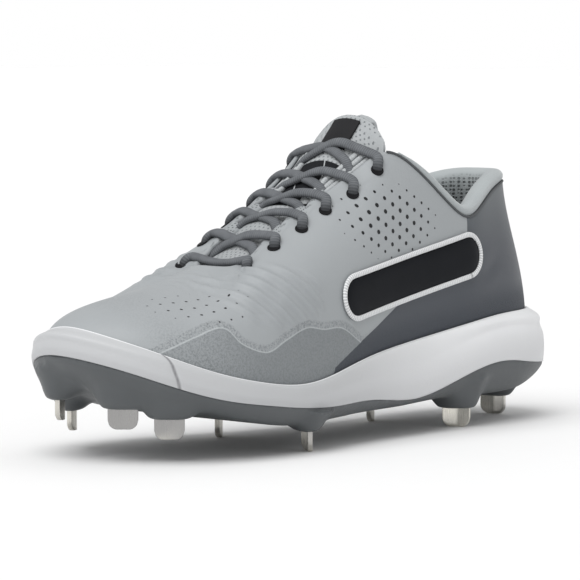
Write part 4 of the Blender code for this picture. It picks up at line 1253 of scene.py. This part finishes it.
def sweep(path, up, width, thickness, around=10):
    """Points of a cord of oval section along a path, and its fields of length and turn."""
    path, up = np.asarray(path, float), np.asarray(up, float)
    way = unit(np.gradient(path, axis=0))
    side = unit(np.cross(way, up))
    face = np.cross(side, way)
    turn = 2 * math.pi * np.arange(around) / around
    across, out = (np.sign(v) * np.abs(v) ** 0.85 / 2 for v in (np.cos(turn), np.sin(turn)))
    points = path[:, None] + side[:, None] * (width * across)[:, None]
    points += face[:, None] * (thickness * out)[:, None]
    run, turn = np.broadcast_arrays(run_along(path)[:, None] / MM, turn)
    return points, {"run": run, "turn": turn, "eyelet_shade": 0 * run}


def closed_sweep(path, up, width, thickness):
    """The same as sweep, for a path that meets itself."""
    path, up = (np.concatenate([rows[-2:], rows, rows[:2]]) for rows in (path, up))
    points, fields = sweep(path, up, width, thickness)
    return points[2:-2], {name: values[2:-2] for name, values in fields.items()}


def cords_piece(name, cords, finish, slot, *nodes):
    """Several swept cords joined as one piece."""
    points, faces = joined([(grid, tube_faces(*grid.shape[:2])) for grid, _ in cords])
    fields = {key: np.concatenate([found[key].ravel() for _, found in cords]) for key in cords[0][1]}
    return piece(name, points, faces, finish, slot, *nodes, fields=fields)


def eyelet_place(side, number):
    """Station and share of the way up its rib of an eyelet, numbered from the collar."""
    station, share = EYELET_ROWS[number - 1]
    return (station if side == "lateral" else across_from(station)), share


def surface_height(trees, x, y):
    """The top of the surfaces over a plan point, with its normal."""
    best = None
    for tree in trees:
        place, normal, _, _ = tree.ray_cast(Vector((x, y, 0.3)), Vector((0, 0, -1)))
        if place is not None and (best is None or place.z > best[0]):
            best = (place.z, np.array(normal if normal.z > 0 else -normal))
    return best


def lace_over(trees, start, end, lift):
    """Points from start to end that rest on the surfaces below, drawn tight, raised by lift midway."""
    shares = np.linspace(0, 1, 17)
    points = start + (end - start) * shares[:, None]
    normals = []
    for point, share in zip(points, shares):
        height, normal = surface_height(trees, point[0], point[1])
        normals.append(normal)
        point[2] = height + LACE_THICKNESS * 0.45 / max(normal[2], 0.6) + lift * bell((share - 0.5) / 0.16)
    for _ in range(10):
        middle = (points[:-2, 2] + points[2:, 2]) / 2
        points[1:-1, 2] = np.maximum(points[1:-1, 2], middle)
    return eased(points, 3), unit(eased(normals, 12))


def into_eyelet(side, number):
    """Points and directions of a lace's last bend, from the skin's face down into an eyelet."""
    station, share = eyelet_place(side, number)
    points = [wall(station, share + rise, off * LACE_THICKNESS) for rise, off in EYELET_BEND]
    normal = wall_normal(station, share)
    down = unit(wall(station, share - 0.01) - wall(station, share + 0.01))
    return points, [normal, normal, unit(normal + down), down, down]


def lace_cord(points, ups, both_ends=False):
    """A lace swept along lists of points, with painted shadow where it goes into an eyelet."""
    path = eased(refine(np.concatenate(points), 5), LACE_EASING)
    up = unit(eased(refine(np.concatenate(ups), 5), LACE_TURN_EASING))
    cord, fields = sweep(path, up, LACE_WIDTH, LACE_THICKNESS, 16)
    rows = np.arange(len(path))
    if both_ends:
        rows = np.maximum(rows, rows[::-1])
    # painted shadow: the last rows of the cord go dark where it dives into an eyelet
    eyelet_shade = smooth(rows, len(path) - SHADE_ROWS[0], len(path) - SHADE_ROWS[1])
    fields["eyelet_shade"] = 0.92 * eyelet_shade[:, None] + fields["eyelet_shade"]
    return cord, fields


def lace_strand(trees, near, far, number, lift):
    """One strand: from under the near edge, over the tongue and down into the far eyelet above."""
    leave, _ = eyelet_place(near, number + 1)
    hole, hole_ups = into_eyelet(far, number)
    under = ((0.90, -0.8), (0.96, -0.7))
    tucked = [wall(leave, share, -UPPER_WALL + off * LACE_THICKNESS) for share, off in under]
    lip = wall(leave, 1.0, -UPPER_WALL - 0.3 * LACE_THICKNESS)
    middle, normals = lace_over(trees, lip + LACE_LEAVE * unit(hole[0] - lip), hole[0], lift)
    inner = wall_normal(leave, 0.97)
    return lace_cord([tucked, middle[:-1], hole], [[inner] * 2, normals[:-1], hole_ups])


def lace_bar(trees):
    """The straight stretch between the lowest pair of eyelets."""
    left, left_ups = into_eyelet("medial", len(EYELET_ROWS))
    right, right_ups = into_eyelet("lateral", len(EYELET_ROWS))
    middle, normals = lace_over(trees, left[0], right[0], 0.0)
    ups = [left_ups[::-1], normals[1:-1], right_ups]
    return lace_cord([left[::-1], middle[1:-1], right], ups, both_ends=True)


def build_laces(trees, finish):
    """The straight bar at the lowest eyelets, then a crossing above each pair."""
    cords_piece("lace_bar_strand", [lace_bar(trees)], finish, "lace", "lace_bar")
    for number in range(len(EYELET_ROWS) - 1, 0, -1):
        strands = [
            lace_strand(trees, "medial", "lateral", number, LACE_THICKNESS * 0.95),
            lace_strand(trees, "lateral", "medial", number, 0.0),
        ]
        cords_piece(f"lace_strands_{number}", strands, finish, "lace", f"lace_cross_{number}")


def build_eyelets(finish):
    """Dark rims where the laces go in: painted shadow of sunken eyelet holes."""
    angle = 2 * math.pi * np.arange(24)[:, None] / 24
    parts = []
    for number in range(1, len(EYELET_ROWS) + 1):
        for side in ("lateral", "medial"):
            station, share = eyelet_place(side, number)
            centre, normal = wall(station, share - 0.008), wall_normal(station, share)
            rise = unit(wall(station, share + 0.01) - wall(station, share - 0.01))
            reach = np.cos(angle) * rise + np.sin(angle) * np.cross(normal, rise)
            rings = [centre + radius * reach + normal * height for radius, height in RIM_RINGS]
            parts.append((np.array(rings), tube_faces(len(rings), len(angle))))
    return piece("eyelet_shadow_rims", *joined(parts), finish, "upper")


def build_bands(trees, finish):
    """Light cords side by side along the throat's upper edges, under the laces."""
    cords = []
    for side in (1, -1):
        for number in range(3):
            path, ups = [], []
            for station in np.linspace(*BAND_STATIONS, 27):
                edge = wall(station if side > 0 else across_from(station), 1.0)
                x = edge[0] - side * (BAND_INSET + number * 0.92 * BAND_CORD)
                height, normal = surface_height(trees, x, edge[1])
                path.append([x, edge[1], height + 0.30 * BAND_CORD])
                ups.append(normal)
            path, ups = refine(eased(path, 6), 3), refine(eased(ups, 6), 3)
            cords.append(sweep(path, unit(ups), BAND_CORD, BAND_CORD))
    return cords_piece("throat_bands", cords, finish, "lace")


def build_piping(finish):
    """The thin dark edge between the upper and the collar's roll."""
    u = np.linspace(-COLLAR_END - 0.35, COLLAR_END + 0.35, 420)
    cord = sweep(wall(u, 1.0, 0.0002), wall_normal(u, 1.0), PIPING_CORD, PIPING_CORD)
    return cords_piece("topline_piping", [cord], finish, "lining")


def bar_outline(count):
    """Evenly spaced points (y, z) round a side bar, a little inside its edge."""
    half = BAR_HEIGHT / 2
    angle = np.linspace(-math.pi / 2, math.pi / 2, 90)
    end = 0.985 * half * np.stack([np.cos(angle), np.sin(angle)], -1) + (BAR_LENGTH / 2 - half, 0.0)
    edge = np.concatenate([end, -end, end[:1]])
    run = run_along(edge)
    even = np.arange(count) / count * run[-1]
    return turned(np.interp(even, run, edge[:, 0]), np.interp(even, run, edge[:, 1]), BAR_TILT)


def bar_grid():
    """Points (y, z) over a side bar in rows across it, and how near each is to its edge, 0 to 1."""
    half = BAR_HEIGHT / 2
    along = BAR_LENGTH / 2 * np.sin(np.linspace(-1.5, 1.5, 120))[:, None]
    away = np.clip(np.abs(along) - (BAR_LENGTH / 2 - half), 0, None)
    up = np.sqrt(half**2 - away**2) * np.linspace(-0.99, 0.99, 25)
    return turned(along + 0 * up, up, BAR_TILT), np.hypot(up, away) / half


def plain_wall_tree():
    """The upper's outer face without its relief."""
    u, shares = np.linspace(0, ROUND, 500), np.linspace(0.05, 1, 60)
    points = wall(u[:, None], shares[None, :]).reshape(-1, 3)
    return BVHTree.FromPolygons(points.tolist(), grid_faces(len(u), len(shares)))


def on_wall(tree, sign, places, offs):
    """Points of the upper's face seen from the side at each (y, z), off out from it, and its normals."""
    points, normals = [], []
    for (y, z), off in zip(places, offs):
        place, normal, _, _ = tree.ray_cast(Vector((sign * 0.2, y, z)), Vector((-sign, 0, 0)))
        normals.append(np.array(normal) * (1 if normal.x * sign > 0 else -1))
        points.append(np.array(place) + normals[-1] * off)
    return np.array(points), np.array(normals)


def build_side_bars(black, white):
    """A plain rounded bar on each side with a satin-stitched white border."""
    tree = plain_wall_tree()
    centre = np.array([BAR_PLACE[0] * SOLE_LENGTH + SHIFT[1], BAR_PLACE[1] * INSTEP_HEIGHT])
    grid, near = bar_grid()
    face, border = centre + grid.reshape(-1, 2), centre + bar_outline(260)
    heights = BAR_CROWN - (BAR_CROWN - BAR_EDGE) * near.ravel() ** 4
    for side, sign in (("lateral", 1), ("medial", -1)):
        points = [on_wall(tree, sign, face, offs)[0] for offs in (heights, 0 * heights - BAR_SUNK)]
        name = f"side_bar_{side}"
        piece(f"{name}_face", points, slab_faces(*near.shape), black, "side_bar", name)
        path, up = on_wall(tree, sign, border, np.full(len(border), BORDER_HEIGHT))
        points, fields = closed_sweep(eased(path, 2), up, BORDER_WIDTH, BORDER_THICKNESS)
        faces = grid_faces(*points.shape[:2], close_rows=True, close_columns=True)
        piece(f"{name}_border", points, faces, white, "side_bar", fields=fields)


def blade_points():
    """The two faces of a folded blade with rounded corners, standing on its tip at the origin."""
    half = SPIKE_WIDTH / 2
    x = half * np.linspace(-1, 1, 25)
    fold = SPIKE_FOLD * (1 - np.sqrt((x / half) ** 2 + 0.01))
    beyond = np.clip(np.abs(x) - (half - BLADE_CORNER), 0, None)
    drop = 0.98 * (BLADE_CORNER - np.sqrt(BLADE_CORNER**2 - beyond**2))
    z = drop + (SPIKE_LENGTH + SPIKE_ROOT - drop) * np.linspace(0, 1, 8)[:, None]
    faces = [np.broadcast_arrays(x, fold + side * SPIKE_THICKNESS / 2, z) for side in (-1, 1)]
    return np.moveaxis(np.array(faces), 1, -1)


def build_spikes(finish):
    """Folded steel blades with rounded corners and eased edges."""
    blade = blade_points()
    faces = slab_faces(*blade.shape[1:3])
    for number, (along, across, turn) in enumerate(SPIKE_ROWS, 1):
        place = np.array([*plan_place(along, across), float(spring_at(along))]) + SHIFT
        points = blade.copy()
        points[..., :2] = turned(blade[..., 0], blade[..., 1], turn)
        name = f"spike_blade_{number}"
        made = piece(name, points + place, faces, finish, "spike", f"spike_{number}")
        ease = made.modifiers.new("eased_edges", "BEVEL")
        ease.width = BLADE_EASE
        ease.segments = 2
        ease.limit_method = "ANGLE"
        ease.angle_limit = math.radians(50)


def build_studio():
    """A pale floor, soft light from above the toe and a camera at the photograph's angle."""
    mesh = bpy.data.meshes.new("floor")
    mesh.from_pydata([(-9, -9, 0), (9, -9, 0), (9, 9, 0), (-9, 9, 0)], [], [(0, 1, 2, 3)])
    mesh.materials.append(plain_finish("pale_floor"))
    floor = bpy.data.objects.new("floor", mesh)
    bpy.context.scene.collection.objects.link(floor)
    bpy.context.scene.view_settings.view_transform = "Standard"
    bpy.context.scene.world = studio_world()
    add_sun("key", (0.15, -0.75, 1.3), 2.0, 50.0)
    add_camera()


def studio_world():
    """Soft light from all round, white just above the horizon."""
    world = bpy.data.worlds.new("studio")
    world.use_nodes = True
    nodes, links = world.node_tree.nodes, world.node_tree.links
    way, height = nodes.new("ShaderNodeTexCoord"), nodes.new("ShaderNodeSeparateXYZ")
    strength = nodes.new("ShaderNodeMapRange")
    for name, value in (("From Min", 0.03), ("From Max", 0.12), ("To Min", 1.0), ("To Max", 0.62)):
        strength.inputs[name].default_value = value
    links.new(way.outputs["Generated"], height.inputs["Vector"])
    links.new(height.outputs["Z"], strength.inputs["Value"])
    links.new(strength.outputs["Result"], nodes["Background"].inputs["Strength"])
    nodes["Background"].inputs["Color"].default_value = (1.0, 1.0, 1.0, 1.0)
    return world


def add_sun(name, place, strength, spread):
    """A broad soft light that shines from the direction of place."""
    light = bpy.data.lights.new(name, "SUN")
    light.energy = strength
    light.angle = math.radians(spread)
    made = bpy.data.objects.new(name, light)
    made.location = place
    made.rotation_mode = "QUATERNION"
    made.rotation_quaternion = Vector(place).to_track_quat("Z", "Y")
    bpy.context.scene.collection.objects.link(made)


def add_camera():
    """A camera that sees the shoe as the photograph does, nearer by the zoom."""
    camera = bpy.data.cameras.new("camera")
    made = bpy.data.objects.new("camera", camera)
    azimuth, elevation = math.radians(CAMERA_AZIMUTH), math.radians(CAMERA_ELEVATION)
    level_part = Vector((math.sin(azimuth), -math.cos(azimuth), 0.0)) * math.cos(elevation)
    back = level_part + Vector((0.0, 0.0, math.sin(elevation)))
    made.location = Vector(CAMERA_TARGET) + back * CAMERA_DISTANCE
    made.rotation_mode = "QUATERNION"
    made.rotation_quaternion = (-back).to_track_quat("-Z", "Y")
    camera.sensor_width = 36.0
    camera.lens = camera.sensor_width * CAMERA_DISTANCE / (PHOTO_WIDTH / PHOTO_SCALE) * ZOOM
    camera.shift_x = (PHOTO_CENTRE[0] - PHOTO_TARGET[0]) * ZOOM / PHOTO_WIDTH
    camera.shift_y = (PHOTO_TARGET[1] - PHOTO_CENTRE[1]) * ZOOM / PHOTO_WIDTH
    bpy.context.scene.collection.objects.link(made)
    bpy.context.scene.camera = made


def build_shoe():
    """Every piece of the shoe. The laces and bands lie on the upper and the tongue."""
    upper = build_upper(upper_finish())
    build_midsole(foam_finish())
    build_outsole(plate_finish())
    build_insole(cloth_finish("insole_cloth", (0.10, 0.11, 0.12), (0.22, 0.235, 0.24), 0.0016))
    tongue = build_tongue(tongue_finish())
    build_label(plain_finish("label_black"))
    build_collar(collar_finish())
    trees = [tree_of(upper), tree_of(tongue)]
    build_laces(trees, lace_finish("lace_weave", (0.020, 0.023, 0.027), (0.205, 0.216, 0.230), 1.1))
    build_eyelets(plain_finish("eyelet_hole_shadow"))
    build_bands(trees[1:], lace_finish("band_cord", (0.36, 0.38, 0.39), (0.50, 0.52, 0.53), 1.6))
    build_piping(plain_finish("piping_dark"))
    build_side_bars(plain_finish("bar_black"), stitch_finish())
    build_spikes(steel_finish())


build_shoe()
build_studio()
